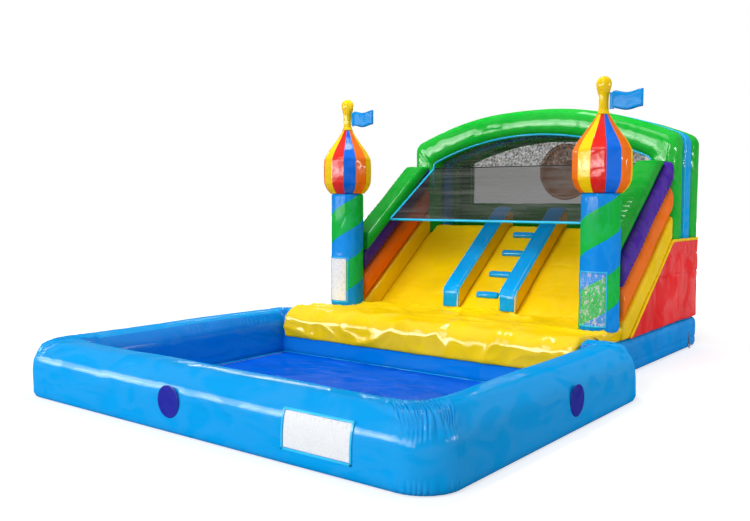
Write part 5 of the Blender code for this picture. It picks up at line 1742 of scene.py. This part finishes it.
class SlideStageSettings(bpy.types.PropertyGroup):
    """Camera, lamps and backdrop."""

    lens: FloatProperty(
        name="Lens", description="Focal length on a 36 mm sensor", default=39.83, min=10.0,
        max=200.0, subtype="DISTANCE_CAMERA")
    camera_place: FloatVectorProperty(
        name="Camera place", description="Where the camera stands", size=3,
        default=(4.4469, -6.6647, 1.6203), subtype="TRANSLATION", unit="LENGTH")
    camera_yaw: angle_property("Yaw", "Turn of the view from +Y towards -X", 37.59)
    camera_pitch: angle_property("Pitch", "How far the view dips", 4.09)
    camera_roll: angle_property("Roll", "Tilt of the camera", 0.2)
    front_light: power_property("Front", "Long strip in front, low down", 520.0)
    card_light: power_property("Card", "Wide card behind the front strip, which only glints", 3200.0)
    back_light: power_property("Back", "Long strip behind at the left, which glints on the tops", 420.0)
    key_light: FloatProperty(
        name="Key", description="Even light from above in front", default=1.5, min=0.0)
    fill_light: power_property("Side", "Long strip at the right", 370.0)
    top_light: power_property("Top", "Softbox overhead", 250.0)
    world_light: FloatProperty(
        name="Room", description="Strength of the white room", default=0.30, min=0.0, max=1.0,
        subtype="FACTOR")
    floor_glow: FloatProperty(
        name="Floor glow", description="White that the camera sees in the floor apart from its light",
        default=0.62, min=0.0, max=1.0, subtype="FACTOR")


class Maker:
    """Runs the makers of a group of pieces with a group of settings."""

    makers = ()
    settings = "slide_vinyl"

    def execute(self, context):
        for make in self.makers:
            make(getattr(context.scene, self.settings))
        return {"FINISHED"}


class SLIDE_OT_pool(Maker, bpy.types.Operator):
    """Makes the pool's wall, floor and seam"""

    bl_idname = "slide.pool"
    bl_label = "Pool"
    makers = (make_pool,)


class SLIDE_OT_body(Maker, bpy.types.Operator):
    """Makes the mattress, the landing, the bed and the panels of the body"""

    bl_idname = "slide.body"
    bl_label = "Body"
    makers = (make_base, make_landing, make_bed, make_panels)


class SLIDE_OT_walls(Maker, bpy.types.Operator):
    """Makes the coloured tubes of the side walls"""

    bl_idname = "slide.walls"
    bl_label = "Side walls"
    makers = (make_side_walls,)


class SLIDE_OT_house(Maker, bpy.types.Operator):
    """Makes the arched ribs, the back wall, the nets and the disc"""

    bl_idname = "slide.house"
    bl_label = "House"
    makers = (make_house, make_nets, make_round_panel)


class SLIDE_OT_climb(Maker, bpy.types.Operator):
    """Makes the rails, their covers and the steps"""

    bl_idname = "slide.climb"
    bl_label = "Climb"
    makers = (make_climb,)


class SLIDE_OT_towers(Maker, bpy.types.Operator):
    """Makes the columns, bulbs, finials and flags"""

    bl_idname = "slide.towers"
    bl_label = "Towers"
    makers = (make_towers,)


class SLIDE_OT_signs(Maker, bpy.types.Operator):
    """Makes the clear pockets, the blank cards and the round patches"""

    bl_idname = "slide.signs"
    bl_label = "Signs"
    makers = (make_signs,)


class SLIDE_OT_fittings(Maker, bpy.types.Operator):
    """Makes the anchors, the zip and the inlet"""

    bl_idname = "slide.fittings"
    bl_label = "Fittings"
    makers = (make_anchors, make_zip, make_inlet)


class SLIDE_OT_stage(Maker, bpy.types.Operator):
    """Makes the floor, the lamps, the backdrop and the camera"""

    bl_idname = "slide.stage"
    bl_label = "Stage"
    makers = (make_stage,)
    settings = "slide_stage"


PIECES = (
    SLIDE_OT_pool, SLIDE_OT_body, SLIDE_OT_walls, SLIDE_OT_house, SLIDE_OT_climb,
    SLIDE_OT_towers, SLIDE_OT_signs, SLIDE_OT_fittings, SLIDE_OT_stage)


class SLIDE_PT_pieces(bpy.types.Panel):
    """Lists the pieces and the stage in the sidebar"""

    bl_idname = "SLIDE_PT_pieces"
    bl_label = "Inflatable slide"
    bl_space_type = "VIEW_3D"
    bl_region_type = "UI"
    bl_category = "Slide"

    def draw(self, context):
        for piece in PIECES:
            self.layout.operator(piece.bl_idname)
        for group in (
                context.scene.slide_vinyl, context.scene.slide_tower, context.scene.slide_stage):
            box = self.layout.box()
            for name in group.__annotations__:
                box.prop(group, name)


CLASSES = (SlideVinylSettings, SlideTowerSettings, SlideStageSettings, *PIECES, SLIDE_PT_pieces)


def register():
    for made in CLASSES:
        bpy.utils.register_class(made)
    bpy.types.Scene.slide_vinyl = PointerProperty(type=SlideVinylSettings)
    bpy.types.Scene.slide_tower = PointerProperty(type=SlideTowerSettings)
    bpy.types.Scene.slide_stage = PointerProperty(type=SlideStageSettings)


def unregister():
    del bpy.types.Scene.slide_vinyl, bpy.types.Scene.slide_tower, bpy.types.Scene.slide_stage
    for made in reversed(CLASSES):
        bpy.utils.unregister_class(made)


def main():
    register()
    for piece in PIECES:
        group, name = piece.bl_idname.split(".")
        getattr(getattr(bpy.ops, group), name)()


if __name__ == "__main__":
    main()
